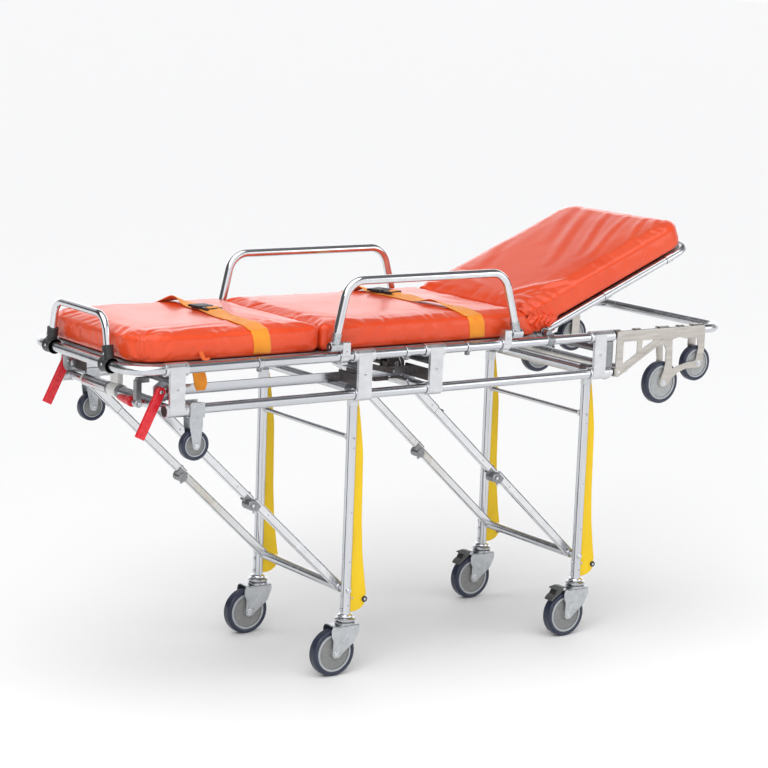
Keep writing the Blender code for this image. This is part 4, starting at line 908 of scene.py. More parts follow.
def brace(tag, xt, xl, share):
    T, B = Vector((xt, 0, ZL)), Vector((xl, 0, Z_BAR))
    d = B - T
    L = d.length
    d.normalize()
    n = Vector((-d.z, 0, d.x))
    if n.z > 0:
        n = -n
    K = T + d * (L * share) + n * KNEE_OFF
    split = T + d * (L * share)

    # the bars default to the brightened copy of alu, painted light
    def bar(p, q, s, a, b, h, mt="alu_painted_light", g=True):
        """Rounded bar with a groove near each edge of both faces; the grooves are filled with dark strips of painted
        shade.
        """
        w, m = (b - a) / 2, s * (a + b) / 2
        out = []
        r = 0.0022
        gz, gd = h - 0.0028, 0.0009
        right = []
        for cz, a0 in ((-h + r, -90), (h - r, 0)):
            for k in range(5):
                t = math.radians(a0 + 90 * k / 4)
                right.append((cz + r * math.sin(t) if False else cz + r * math.sin(t), w - r + r * math.cos(t)))
        # section corners, counter-clockwise in (across, y)
        sec = []
        sec += [(-h, -w + r), (-h + r * 0.3, -w + r * 0.3), (-h + r, -w)]
        if g:
            sec += [(-gz - 0.0006, -w), (-gz - 0.0003, -w + gd), (-gz + 0.0003, -w + gd), (-gz + 0.0006, -w)]
            sec += [(gz - 0.0006, -w), (gz - 0.0003, -w + gd), (gz + 0.0003, -w + gd), (gz + 0.0006, -w)]
        sec += [(h - r, -w), (h - r * 0.3, -w + r * 0.3), (h, -w + r), (h, w - r), (h - r * 0.3, w - r * 0.3), (h - r, w)]
        if g:
            sec += [(gz + 0.0006, w), (gz + 0.0003, w - gd), (gz - 0.0003, w - gd), (gz - 0.0006, w)]
            sec += [(-gz + 0.0006, w), (-gz + 0.0003, w - gd), (-gz - 0.0003, w - gd), (-gz - 0.0006, w)]
        sec += [(-h + r, w), (-h + r * 0.3, w - r * 0.3), (-h, w - r)]
        P0 = Vector((p.x, m, p.z))
        Q0 = Vector((q.x, m, q.z))
        out.append((section(P0, Q0, sec), mt))
        # dark strips laid in the grooves: painted shade
        if g:
            for gg in (-gz, gz):
                for ww in (-w, w):
                    yy = m + ww - (gd * 0.5 if ww > 0 else -gd * 0.5)
                    o = n * gg
                    out.append((section(P0 + o + Vector((0, yy - m, 0)), Q0 + o + Vector((0, yy - m, 0)),
                                        [(-0.0007, -0.00022), (0.0007, -0.00022), (0.0007, 0.00030), (-0.0007, 0.00030)]), "seam"))
        return out

    up = [(sleeve((xt, -0.1790, ZL), (xt, 0.1790, ZL), 0.0155, 0.0120), "alu")]
    lo = [(sleeve((xl, -0.1915, Z_BAR), (xl, 0.1915, Z_BAR), 0.0122, 0.0084), "alu")]
    for nm, s in SIDES:
        up += bar(T + d * 0.006, split - d * 0.001, s, 0.1630, 0.1755, 0.0116)
        up += bar(T + d * 0.012, T + d * 0.120, s, 0.1620, 0.1763, 0.0128)
        up.append((section(Vector((0, s * 0.1691, 0)) + T + d * 0.1195, Vector((0, s * 0.1691, 0)) + T + d * 0.1212,
                           [(-0.0111, -0.0069), (0.0111, -0.0069), (0.0111, 0.0069), (-0.0111, 0.0069)]), "seam"))
        lo += bar(split + d * 0.001, B - d * 0.006, s, 0.1775, 0.1900, 0.0116)
        for lst, a, b, k0, k1, hh, mt in ((up, 0.1600, 0.1758, -0.024, 0.004, 0.0100, "cast"),
                                         (lo, 0.1774, 0.1912, -0.004, 0.022, 0.0096, "cast")):
            lst += [(bar(split + d * k0 + n * 0.0045, split + d * k1 + n * 0.0045, s, a, b, hh, mt, False)[0][0], mt)]
        # knee discs with a pin boss, and the small catch lever below
        up.append((rev((K.x, s * 0.1580, K.z), (0, s, 0), [(0, 0), (0.0118, 0), (0.0130, 0.0012), (0.0130, 0.0181), (0, 0.0181)], 40),
                   "cast"))
        lo.append((rev((K.x, s * 0.1772, K.z), (0, s, 0), [(0, 0), (0.0130, 0), (0.0130, 0.0150), (0.0118, 0.0164), (0.0095, 0.0168),
                                                           (0.0090, 0.0158), (0.0062, 0.0158), (0.0056, 0.0178), (0.0045, 0.0184),
                                                           (0, 0.0186)], 40), "cast"))
        lo += screw((K.x, s * 0.1954, K.z), (0, s, 0), 0.0040, 0.0010, False)
        c = Vector((0, s * 0.1840, 0)) + split + d * 0.0200 + n * 0.0165
        lo.append((cyl(c, c + n * 0.0060, 0.0040, 24), "screw"))
        c = Vector((0, s * 0.1700, 0)) + split - d * 0.0180 - n * 0.0095
        up.append((cyl(c, c - n * 0.0040, 0.0036, 20), "dark"))
        # grub screws and end knobs near the top
        for k in (0.030, 0.100):
            p = T + d * k
            up += dot((p.x, s * 0.1763, p.z), (0, s, 0), 0.0020)
        if tag == "head":
            p = T + d * 0.140
            up.append((cyl(Vector((p.x, s * 0.1700, p.z)) - n * 0.0095, Vector((p.x, s * 0.1700, p.z)) - n * 0.0145, 0.0042, 24),
                       "dark"))
        for lst, p, yy in ((lo, B - d * 0.045, 0.1900), (up, split - d * 0.060, 0.1755), (lo, split + d * 0.055, 0.1900)):
            lst += dot((p.x, s * yy, p.z), (0, s, 0), 0.0018)
    piece("brace_upper_bars_" + tag, "upper_brace_" + tag, up, "brace_upper_" + tag)
    piece("brace_lower_bars_" + tag, "lower_brace_" + tag, lo, "brace_lower_" + tag)


brace("foot", X_FB, X_LF, 0.5150)
brace("head", X_M2, X_LH, 0.5235)

# -------------------------------------------------------------------- castors
for tag, xl in (("foot", X_LF), ("head", X_LH)):
    for nm, s in SIDES:
        y = s * Y_LEG
        xw = xl - TRAIL
        # swivel race in the darkened copy of chrome: painted dark reflection
        P = [(rev((xl, y, 0.1330), (0, 0, 1), [(0, 0), (0.0235, 0), (0.0266, 0.0012), (0.0272, 0.0040), (0.0262, 0.0070),
                                               (0.0244, 0.0082), (0.0244, 0.0092), (0.0264, 0.0104), (0.0274, 0.0130),
                                               (0.0268, 0.0160), (0.0240, 0.0182), (0.0160, 0.0192), (0, 0.0192)], 56), "race"),
             (rev((xl, y, 0.1330), (0, 0, 1), [(0.018, 0.0080), (0.0248, 0.0080), (0.0248, 0.0094), (0.018, 0.0094)], 56), "seam"),
             (box(xl - 0.0440, xl + 0.0315, y - 0.0213, y + 0.0213, 0.1300, 0.1345, 0.0016), "zinc")]
        cheek = fil([(xl - 0.0505, 0.1340), (xl + 0.0320, 0.1340), (xl + 0.0325, 0.1180), (xl + 0.0190, 0.0880, 0.03),
                     (xl - 0.0190, 0.0600), (xl - 0.0270, 0.0505), (xl - 0.0420, 0.0495), (xl - 0.0490, 0.0570),
                     (xl - 0.0470, 0.0980, 0.008), (xl - 0.0530, 0.1080, 0.005), (xl - 0.0540, 0.1220)], 0.006)
        for k in (-1, 1):
            y0, y1 = sorted((y + k * 0.0192, y + k * 0.0213))
            P.append((plate(cheek, y0, y1), "zinc"))
            # pressed ridge down the cheek
            P.append((section((xl + 0.0080, y + k * 0.0214, 0.1250), (xl - 0.0300, y + k * 0.0214, 0.0720),
                              fil([(-0.0012, -0.0006), (0.0012, -0.0006), (0.0012, 0.0006), (-0.0012, 0.0006)], 0.0005),
                              up=(0, 1, 0)), "zinc"))
            P.append((rev((xw, y + k * 0.0210, WHEEL_R), (0, k, 0), [(0, 0), (0.0085, 0), (0.0085, 0.0010), (0.0066, 0.0014),
                                                                    (0.0062, 0.0036), (0.0048, 0.0044), (0, 0.0046)], 24),
                      "screw"))
        P.append((box(xl + 0.0280, xl + 0.0316, y - 0.0196, y + 0.0196, 0.1160, 0.1320, 0.0010), "zinc"))
        P.append((cyl((xw, y - 0.0225, WHEEL_R), (xw, y + 0.0225, WHEEL_R), 0.0050, 32), "screw"))
        piece("castor_fork_pressing_%s_%s" % (tag, nm), "castor_%s_%s" % (tag, nm), P, "castor_fork_%s_%s" % (tag, nm))
        # castor wheel disc in the darker disc grey: painted shade
        piece("castor_tyre_%s_%s" % (tag, nm), "wheel_%s_%s" % (tag, nm),
              wheel_parts(xw, y, WHEEL_R, WHEEL_R, 0.0150, 0.0180, "disc", 0.81), "castor_wheel_%s_%s" % (tag, nm))
        if tag == "head":
            # tread plate, recessed body and the lower toe plate over the tyre
            up_ = fil([(xl - 0.0462, 0.1320), (xl - 0.0462, 0.1425), (xl - 0.0600, 0.1440), (xl - 0.0800, 0.1408),
                       (xl - 0.0806, 0.1368), (xl - 0.0640, 0.1380), (xl - 0.0560, 0.1320)], 0.0014)
            mid = fil([(xl - 0.0490, 0.1400), (xl - 0.0720, 0.1400), (xl - 0.0810, 0.1230), (xl - 0.0765, 0.1175),
                       (xl - 0.0640, 0.1240), (xl - 0.0530, 0.1310)], 0.0020)
            toe = fil([(xl - 0.0640, 0.1258), (xl - 0.0690, 0.1300), (xl - 0.0885, 0.1175), (xl - 0.0955, 0.1085),
                       (xl - 0.0915, 0.1058), (xl - 0.0800, 0.1150)], 0.0014)
            P = [(prism(up_, y - 0.0160, y + 0.0160, "y", 0.0010), "pedal"),
                 (prism(mid, y - 0.0096, y + 0.0096, "y", 0.0010), "black"),
                 (prism(toe, y - 0.0160, y + 0.0160, "y", 0.0010), "pedal")]
            for k in (-1, 1):
                P.append((prism(mid, y + k * 0.0124 - 0.0014, y + k * 0.0124 + 0.0014, "y", 0.0006), "pedal"))
            for k in range(4):
                u = k / 3
                cx, cz = xl - 0.0620 - 0.0140 * u, 0.1437 - 0.0023 * u
                P.append((box(cx - 0.0010, cx + 0.0010, y - 0.0138, y + 0.0138, cz - 0.0010, cz + 0.0006, 0.0004), "pedal"))
            P.append((cyl((xl - 0.0500, y - 0.0170, 0.1360), (xl - 0.0500, y + 0.0170, 0.1360), 0.0044, 24), "screw"))
            piece("brake_lever_" + nm, "pedal_" + nm, P, "brake_pedal_" + nm)

# ------------------------------------------------------------------- backrest
P = [(tube(bend([br(0, -Y_BR, 0), br(BR_LEN, -Y_BR, 0), br(BR_LEN, Y_BR, 0), br(0, Y_BR, 0)], [0, 0.045, 0.045, 0], 18), 0.0100,
           40, up=N), "alu")]
for nm, s in SIDES:
    P.append((cyl((BR_X, s * 0.2290, BR_Z), (BR_X, s * 0.2505, BR_Z), 0.0125, 40), "cast"))
    P += screw((BR_X, s * 0.2505, BR_Z), (0, s, 0), 0.0056, 0.0018, False)
    for u in (0.235, 0.470):
        P.append((sleeve(br(u - 0.012, s * Y_BR, 0), br(u + 0.012, s * Y_BR, 0), 0.0120, 0.0096), "alu"))
        P.append((rev(br(u - 0.0126, s * Y_BR, 0), U, [(0.004, 0), (0.0103, 0), (0.0103, 0.001), (0.004, 0.001)], 32), "seam"))
        P.append((rev(br(u + 0.0116, s * Y_BR, 0), U, [(0.004, 0), (0.0103, 0), (0.0103, 0.001), (0.004, 0.001)], 32), "seam"))
V = [br(u, y, n) for u in (0.060, 0.535) for y in (-0.2320, 0.2320) for n in (0.0030, 0.0078)]
P.append((bevel((V, [(0, 1, 3, 2), (4, 6, 7, 5), (0, 4, 5, 1), (2, 3, 7, 6), (0, 2, 6, 4), (1, 5, 7, 3)]), 0.0012), "deck"))
for u in (0.235, 0.470):
    P.append((tube([br(u, -0.2340, -0.0010), br(u, 0, -0.0010), br(u, 0.2340, -0.0010)], 0.0078, 28), "alu"))
piece("backrest_tube", "backrest", P, "backrest_frame")

# ------------------------------------------------------------------ side rails
for nm, s in SIDES:
    y = s * SR_Y
    pts = bend([(-0.3775, y, SR_Z), (-0.340, y, 1.040), (0.150, y, 1.040), (0.1975, y, SR_Z)], [0, 0.055, 0.055, 0], 20)
    P = [(tube(pts, 0.0110, 44, up=(0, 1, 0)), "chrome")]
    for cx, q in ((-0.3755, Vector((-0.3775, y, SR_Z))), (0.1955, Vector((0.1975, y, SR_Z)))):
        P.append((sleeve((cx - 0.0165, y, SR_Z), (cx + 0.0165, y, SR_Z), 0.0130, 0.0045), "zinc"))
        e = (Vector((-0.340, y, 1.040)) if cx < 0 else Vector((0.150, y, 1.040))) - q
        e.normalize()
        P.append((sleeve(q + e * 0.006, q + e * 0.034, 0.0128, 0.0108), "zinc"))
        P += dot(q + e * 0.024 + Vector((0, s * 0.0127, 0)), (0, s, 0), 0.0018)
        for k in (-0.0168, 0.0158):
            P.append((rev((cx + k, y, SR_Z), (1, 0, 0), [(0.0042, 0), (0.0104, 0), (0.0104, 0.001), (0.0042, 0.001)], 32), "seam"))
    piece("side_rail_tube_" + nm, "side_rail_%s_body" % nm, P, "side_rail_" + nm)

# ------------------------------------------------------------ foot guard rail
pts = bend([(-X_END, -GR_Y, 0.8715), (-X_END, -0.128, 0.9660), (-X_END, 0.128, 0.9660), (-X_END, GR_Y, 0.8715)],
           [0, 0.045, 0.045, 0], 20)
piece("guard_rail_tube", "guard_rail", [(tube(pts, 0.0092, 40, up=(1, 0, 0)), "chrome")], "foot_guard_rail")
for nm, s in SIDES:
    d = Vector((0, -s * 0.022, 0.0945)).normalized()
    c = Vector((-X_END, s * GR_Y, 0.8715))
    P = [(sleeve((-X_END, s * (GR_Y - 0.0190), ZU), (-X_END, s * (GR_Y + 0.0190), ZU), 0.0186, 0.0134), "black"),
         (sleeve(c - d * 0.016, c + d * 0.024, 0.0140, 0.0097), "black"),
         (sleeve(c + d * 0.019, c + d * 0.0242, 0.0146, 0.0097), "black")]
    for k in (-0.0190, 0.0130):
        P.append((sleeve((-X_END, s * GR_Y + k, ZU), (-X_END, s * GR_Y + k + 0.0060, ZU), 0.0192, 0.0134), "black"))
    P += screw((-X_END - 0.0182, s * GR_Y, ZU + 0.002), (-1, 0, 0), 0.0036, 0.0014)
    P += screw((-X_END - 0.0130, s * GR_Y, ZU + 0.0270), (-1, 0, 0), 0.0030, 0.0014)
    P += screw((-X_END + 0.0182, s * GR_Y, ZU - 0.002), (1, 0, 0), 0.0036, 0.0014)
    piece("guard_clamp_shell_" + nm, "guard_rail", P, "guard_clamp_" + nm)

# -------------------------------------------------------------------- controls
for nm, s in SIDES:
    px, pz = -0.8480, 0.7920
    dx, dz = -0.0480, -0.0960
    L = math.hypot(dx, dz)
    dx, dz = dx / L, dz / L
    nx, nz = -dz, dx
    ym = s * 0.2461

    def q(a, b):
        return Vector((px + dx * a + nx * b, ym, pz + dz * a + nz * b))
    prof = fil([(-0.0120, -0.0066), (0.0120, -0.0066), (0.0120, 0.0066), (-0.0120, 0.0066)], 0.0030)
    P = [(bevel(section(q(0.004, 0), q(0.122, 0), prof), 0.0012, 2, 50), "red"),
         (cyl((px, s * 0.2394, pz), (px, s * 0.2528, pz), 0.0120, 36, 0.0012), "red")]
    P += screw((px, s * 0.2526, pz), (0, s, 0), 0.0050, 0.0022)
    y0, y1 = sorted((s * 0.2392, s * 0.2412))
    piece("release_bar_" + nm, "lever_" + nm, P, "release_lever_" + nm)
P = [(rev((-0.8560, -0.1240, 0.7480), (0, 1, 0), [(0, -0.0005), (0.0122, 0), (0.0134, 0.0012), (0.0135, 0.0080), (0.0122, 0.0200),
                                                 (0.0112, 0.0215), (0.0112, 0.0235), (0.0118, 0.0250), (0.0104, 0.0400),
                                                 (0.0090, 0.0540), (0.0078, 0.0655), (0.0064, 0.0680), (0, 0.0684)], 40), "red"),
     (cyl((-0.8560, -0.1620, 0.7480), (-0.8560, -0.1222, 0.7480), 0.0050, 28), "screw"),
     (rev((-0.8560, -0.0558, 0.7480), (0, 1, 0), [(0, 0), (0.0040, 0), (0.0034, 0.0010), (0, 0.0012)], 28), "screw")]
piece("release_knob_grip", "knob", P, "release_knob")


# ------------------------------------------------------------------- mattress
def soft_piece(name, me, mats, weighted=False):
    for m in mats:
        me.materials.append(MT[m])
    for p in me.polygons:
        p.use_smooth = True
    ob = bpy.data.objects.new(name, me)
    SC.collection.objects.link(ob)
    return ob


def pad_mesh(out, t0, t1, lo, hi, inset=0.006, z_in=0.010, place=None):
    """Closed slab from an outline (a, y); lo / hi lean the two ends inwards at the top."""
    amin, amax = min(p[0] for p in out), max(p[0] for p in out)
    n = len(out)
    V, F = [], []
    for tz, ins in ((t0, z_in), (t0 + z_in, 0.0), (t1 - z_in, 0.0), (t1, z_in)):
        q = (tz - t0) / (t1 - t0)
        for a, y in out:
            a0, a1 = amin + lo * q, amax - hi * q
            b = a0 + (a - amin) * (a1 - a0) / (amax - amin)
            c = (a0 + a1) / 2
            V.append((c + (b - c) * (1 - ins / ((a1 - a0) / 2)), y * (1 - ins / 0.25), tz))
    F.append(tuple(range(n))[::-1])
    F.append(tuple(range(3 * n, 4 * n)))
    for l in range(3):
        for i in range(n):
            j = (i + 1) % n
            F.append((l * n + i, l * n + j, (l + 1) * n + j, (l + 1) * n + i))
    me = bpy.data.meshes.new("pad")
    me.from_pydata(V, [], F)
    me.validate()
    return me


def outline(a0, a1, w, r0, r1, seg=10):
    pts = []
    for cx, cy, r, t0 in ((a0, -w, r0, 180), (a1, -w, r1, 270), (a1, w, r1, 0), (a0, w, r0, 90)):
        sx = 1 if cx == a0 else -1
        sy = 1 if cy < 0 else -1
        for k in range(seg + 1):
            t = math.radians(t0 + 90 * k / seg)
            pts.append((cx + sx * r + r * math.cos(t), cy + sy * r + r * math.sin(t)))
    return pts


def fbm(x, y, z):
    return noise.fractal(Vector((x, y, z)), 1.0, 2.0, 4, noise_basis="PERLIN_ORIGINAL")


def make_pad(name, out, t0, t1, lo, hi, cap, folds, voxel=0.0065, seed=0.0):
    """Cover filled by a cloth simulation, then handled: seams, creases and long folds."""
    me = pad_mesh(out, t0, t1, lo, hi)
    ob = bpy.data.objects.new(name + "_sim", me)
    SC.collection.objects.link(ob)
    bpy.context.view_layer.objects.active = ob
    rm = ob.modifiers.new("r", "REMESH")
    rm.mode, rm.voxel_size, rm.adaptivity = "VOXEL", voxel, 0.0
    dg = bpy.context.evaluated_depsgraph_get()
    me = bpy.data.meshes.new_from_object(ob.evaluated_get(dg))
    ob.modifiers.clear()
    ob.data = me
    base = [v.co.copy() for v in me.vertices]
    nrm = [v.normal.copy() for v in me.vertices]
    pin = ob.vertex_groups.new(name="pin")
    loose = ob.vertex_groups.new(name="loose")
    for v in me.vertices:
        d = v.co.z - t0
        w = 1.0 if d < 0.006 else 0.0
        e = t1 - v.co.z
        if w == 0.0 and 0.004 < e < 0.013:
            w = 0.35
        if w:
            pin.add([v.index], w, "REPLACE")
        side = 1.0 if abs(v.normal.z) < 0.6 else 0.35 * max(0.0, 1 - (0.25 - abs(v.co.y)) / 0.07)
        loose.add([v.index], max(0.0, min(1.0, side)), "REPLACE")
    cl = ob.modifiers.new("Cloth", "CLOTH")
    st = cl.settings
    st.quality = 4
    st.mass = 0.3
    st.tension_stiffness = st.compression_stiffness = 18
    st.shear_stiffness = 8
    st.bending_stiffness = 0.6
    st.use_pressure = True
    st.uniform_pressure_force = 4.0
    st.effector_weights.gravity = 0.0
    st.vertex_group_mass = "pin"
    st.pin_stiffness = 1.0
    st.vertex_group_shrink = "loose"
    st.shrink_min, st.shrink_max = -0.004, -0.045
    cl.point_cache.frame_start, cl.point_cache.frame_end = 1, 20
    for f in range(1, 21):
        SC.frame_set(f)
    dg = bpy.context.evaluated_depsgraph_get()
    me2 = bpy.data.meshes.new_from_object(ob.evaluated_get(dg))
    ob.modifiers.clear()
    SC.frame_set(1)
    pos = [v.co.copy() for v in me2.vertices]
    for i, p in enumerate(pos):
        d = p - base[i]
        k = cap * (0.45 if abs(nrm[i].z) < 0.6 else 1.0)
        if d.length > k:
            # soft limit: keeps the relief while it stays in the space of the solid
            d = d.normalized() * (k + (d.length - k) * 0.15)
        if d.length > cap * 1.4:
            d = d.normalized() * cap * 1.4
        me2.vertices[i].co = base[i] + d
    ob.data = me2
    me = me2
    sub = ob.modifiers.new("s", "SUBSURF")
    sub.levels = sub.render_levels = 1
    dg = bpy.context.evaluated_depsgraph_get()
    me = bpy.data.meshes.new_from_object(ob.evaluated_get(dg))
    bpy.data.objects.remove(ob, do_unlink=True)
    me.update()
    ns = [v.normal.copy() for v in me.vertices]
    for v, nn in zip(me.vertices, ns):
        v.co = v.co + nn * folds(v.co.x, v.co.y, v.co.z, nn)
    me.update()
    me.name = name
    return me


def edge_creases(x, y, z, nn, t0, t1, amp=0.0022):
    """Short creases that run in from the top edge and down the sides."""
    top = max(0.0, nn.z)
    side = 1.0 - abs(nn.z)
    ey = 0.25 - abs(y)
    v = 0.0
    # gathers on the walls: nearly upright, uneven
    f = fbm(x * 38 + 3.1 * math.sin(z * 30), z * 7, y * 6)
    v += side * amp * 0.20 * f
    r = 1 - abs(fbm(x * 16, y * 3 + 7, z * 9))
    v += side * amp * 0.36 * (r ** 3 - 0.45)
    # soft dents beside the edge on the top
    band = math.exp(-(ey / 0.045) ** 2)
    v += top * amp * 0.6 * band * fbm(x * 22, y * 9, 1.7)
    v += top * amp * 0.35 * fbm(x * 5, y * 5, 4.2)
    # welt line near the top edge
    e = t1 - z
    v -= side * 0.0006 * math.exp(-((e - 0.012) / 0.0024) ** 2)
    return v


def line_fold(x, y, p, q, w, a):
    """Ridge along the segment p-q, fading at its ends."""
    d = (q[0] - p[0], q[1] - p[1])
    L2 = d[0] ** 2 + d[1] ** 2
    t = ((x - p[0]) * d[0] + (y - p[1]) * d[1]) / L2
    L = math.sqrt(L2)
    s = ((x - p[0]) * -d[1] + (y - p[1]) * d[0]) / L
    s += 0.006 * math.sin(t * 5.0)
    f = max(0.0, math.sin(math.pi * max(0.0, min(1.0, t)))) ** 0.6
    return a * f * (math.exp(-(s / w) ** 2) - 0.55 * math.exp(-((s - w * 1.3) / (w * 0.8)) ** 2))


T0, T1 = Z_MAT, Z_MAT + MAT_T


def folds_foot(x, y, z, nn):
    v = edge_creases(x, y, z, nn, T0, T1)
    if nn.z > 0.3:
        for p, q, w, a in (((-0.900, -0.225), (-0.640, -0.205), 0.012, 0.0022), ((-0.880, -0.190), (-0.560, -0.150), 0.016, 0.0018),
                           ((-0.700, -0.240), (-0.470, -0.170), 0.013, 0.0020), ((-0.560, 0.020), (-0.500, -0.240), 0.014, 0.0022),
                           ((-0.900, 0.150), (-0.700, 0.205), 0.015, 0.0018), ((-0.470, 0.200), (-0.430, -0.120), 0.018, 0.0016)):
            v += nn.z * line_fold(x, y, p, q, w, a)
    # corners at the foot end: folded-in cover
    for cy in (-1, 1):
        d = math.hypot(x + 0.885, y - cy * 0.220)
        if d < 0.09:
            a = math.atan2(y - cy * 0.220, x + 0.885)
            v += 0.0018 * math.exp(-(d / 0.05) ** 2) * math.sin(a * 13 + z * 60)
    return v


def folds_seat(x, y, z, nn):
    v = edge_creases(x, y, z, nn, T0, T1)
    if nn.z > 0.3:
        for p, q, w, a in (((-0.405, -0.05), (-0.270, -0.245), 0.016, 0.0022), ((-0.400, 0.10), (-0.250, 0.24), 0.016, 0.0018),
                           ((-0.300, -0.215), (0.020, -0.225), 0.012, 0.0016), ((0.060, 0.05), (0.230, -0.235), 0.016, 0.0024),
                           ((0.140, 0.18), (0.240, -0.02), 0.018, 0.0018), ((-0.100, -0.12), (0.120, -0.20), 0.020, 0.0014)):
            v += nn.z * line_fold(x, y, p, q, w, a)
    return v


BT0, BT1 = 0.0145, 0.0865


def folds_back(x, y, z, nn):
    v = edge_creases(x * 0.7, y, z, nn, BT0, BT1, 0.0020)
    if nn.z > 0.3:
        for p, q, w, a in (((0.520, 0.120), (0.170, -0.080), 0.020, 0.0022), ((0.535, 0.040), (0.250, -0.120), 0.015, 0.0020),
                           ((0.530, -0.050), (0.240, -0.170), 0.014, 0.0016), ((0.540, -0.120), (0.360, -0.205), 0.012, 0.0019),
                           ((0.540, -0.170), (0.430, -0.225), 0.010, 0.0014), ((0.520, 0.190), (0.280, 0.060), 0.024, 0.0017),
                           ((0.300, 0.235), (0.090, 0.130), 0.024, 0.0016), ((0.120, -0.230), (0.000, -0.090), 0.014, 0.0030),
                           ((0.160, -0.242), (0.030, -0.160), 0.011, 0.0030), ((0.080, 0.22), (0.010, 0.02), 0.015, 0.0026)):
            v += nn.z * line_fold(x, y, p, q, w, a)
    side = 1.0 - abs(nn.z)
    if x < 0.12:                              # bunched where the cover turns at the hinge
        k = max(0.0, 1 - (x + 0.05) / 0.17) * max(0.0, 1 - (0.25 - abs(y)) / 0.10)
        v += k * 0.0042 * math.sin(x * 210 + z * 60 + 2.0 * fbm(x * 20, y * 9, z * 12))
    v += side * 0.0008 * fbm(x * 26, y * 8, z * 22)
    return v


me = make_pad("mattress_foot_cover", outline(X_MAT0 + 0.003, X_FOLD - 0.0030, Y_MAT - 0.003, 0.082, 0.014), T0, T1 - 0.002, 0, 0,
              0.0055, folds_foot)
foot_pad = soft_piece("mattress_foot_cover", me, ["vinyl"])
me = make_pad("mattress_seat_cover", outline(X_FOLD + 0.0030, X_MAT1 - 0.001, Y_MAT - 0.003, 0.014, 0.014), T0, T1 - 0.002, 0,
              0.050, 0.0055, folds_seat)
seat_pad = soft_piece("mattress_seat_cover", me, ["vinyl"])
# back section: built flat along u, its lower end leans under the seat's end
me = make_pad("mattress_back_cover", outline(-0.004, 0.548, Y_MAT - 0.003, 0.014, 0.056), BT0, BT1 - 0.002, -0.046, 0.002,
              0.0055, folds_back)
for v in me.vertices:
    v.co = br(v.co.x, v.co.y, v.co.z)
me.update()
back_pad = soft_piece("mattress_back_cover", me, ["vinyl"])


def tree(ob):
    m = ob.data
    return BVHTree.FromPolygons([v.co for v in m.vertices], [tuple(p.vertices) for p in m.polygons])


TREES = {"foot": tree(foot_pad), "seat": tree(seat_pad), "back": tree(back_pad)}


def top_z(x, y):
    """Height of the mattress under a point."""
    best = None
    for k in ("foot", "seat"):
        h = TREES[k].ray_cast(Vector((x, y, 1.2)), Vector((0, 0, -1)))
        if h[0] is not None and (best is None or h[0].z > best):
            best = h[0].z
    return best if best is not None else T1


def tape(pts, r, name, body, mt="piping", n=10):
    V, F = tube(pts, r, n, up=(0, 0, 1))
    return (V, F), mt


def welt(key, pts_dirs, r=0.0013):
    """Line of stitching cord laid on the surface of a pad."""
    out = []
    for p in pts_dirs:
        h = TREES[key].find_nearest(p)
        out.append(h[0] + h[1] * (r * 0.35))
    sm = [out[0]] + [(out[i - 1] + out[i] * 2 + out[i + 1]) / 4 for i in range(1, len(out) - 1)] + [out[-1]]
    return sm


def ring_path(out, t, step=0.006):
    pts = [Vector((a, y, t)) for a, y in out]
    pts.append(pts[0])
    res = []
    for a, b in zip(pts, pts[1:]):
        k = max(1, int((b - a).length / step))
        res += [a.lerp(b, i / k) for i in range(k)]
    res.append(pts[0])
    return res


def closed_tube(pts, r, n=8):
    """Tube round a closed loop."""
    pts = pts[:-1] if (pts[0] - pts[-1]).length < 1e-6 else pts
    m = len(pts)
    V, F = [], []
    for i, p in enumerate(pts):
        t = (pts[(i + 1) % m] - pts[i - 1]).normalized()
        up = Vector((0, 0, 1))
        side = t.cross(up).normalized()
        tp = side.cross(t).normalized()
        for j in range(n):
            a = 2 * math.pi * j / n
            V.append(p + r * (side * math.cos(a) + tp * math.sin(a)))
    for i in range(m):
        a, b = i * n, ((i + 1) % m) * n
        for j in range(n):
            q = (j + 1) % n
            F.append((a + j, a + q, b + q, b + j))
    return V, F


for key, ob, out, t in (("foot", foot_pad, outline(X_MAT0 - 0.004, X_FOLD - 0.001, Y_MAT + 0.004, 0.084, 0.012), T1 - 0.0135),
                        ("seat", seat_pad, outline(X_FOLD + 0.001, X_MAT1 - 0.040, Y_MAT + 0.004, 0.012, 0.012), T1 - 0.0135)):
    body = "frame"
    P = [(closed_tube(welt(key, ring_path(out, t), 0.0006), 0.0006), "piping")]
    piece("mattress_%s_seam" % key, body, P, angle=80)
pts = [br(a.x, a.y, BT1 - 0.0145) for a in ring_path(outline(-0.030, 0.554, Y_MAT + 0.004, 0.014, 0.060), 0)]
sm = welt("back", pts)
V, F = closed_tube(sm, 0.0006)
me = bpy.data.meshes.new("mattress_back_seam")
me.from_pydata([tuple(v) for v in V], [], F)
back_seam = soft_piece("mattress_back_seam", me, ["piping"])

for ob, n in ((foot_pad, "mattress_foot"), (seat_pad, "mattress_seat")):
    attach(ob, "frame")
    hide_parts(n)
for ob in (back_pad, back_seam):
    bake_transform(ob)
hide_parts("mattress_back")


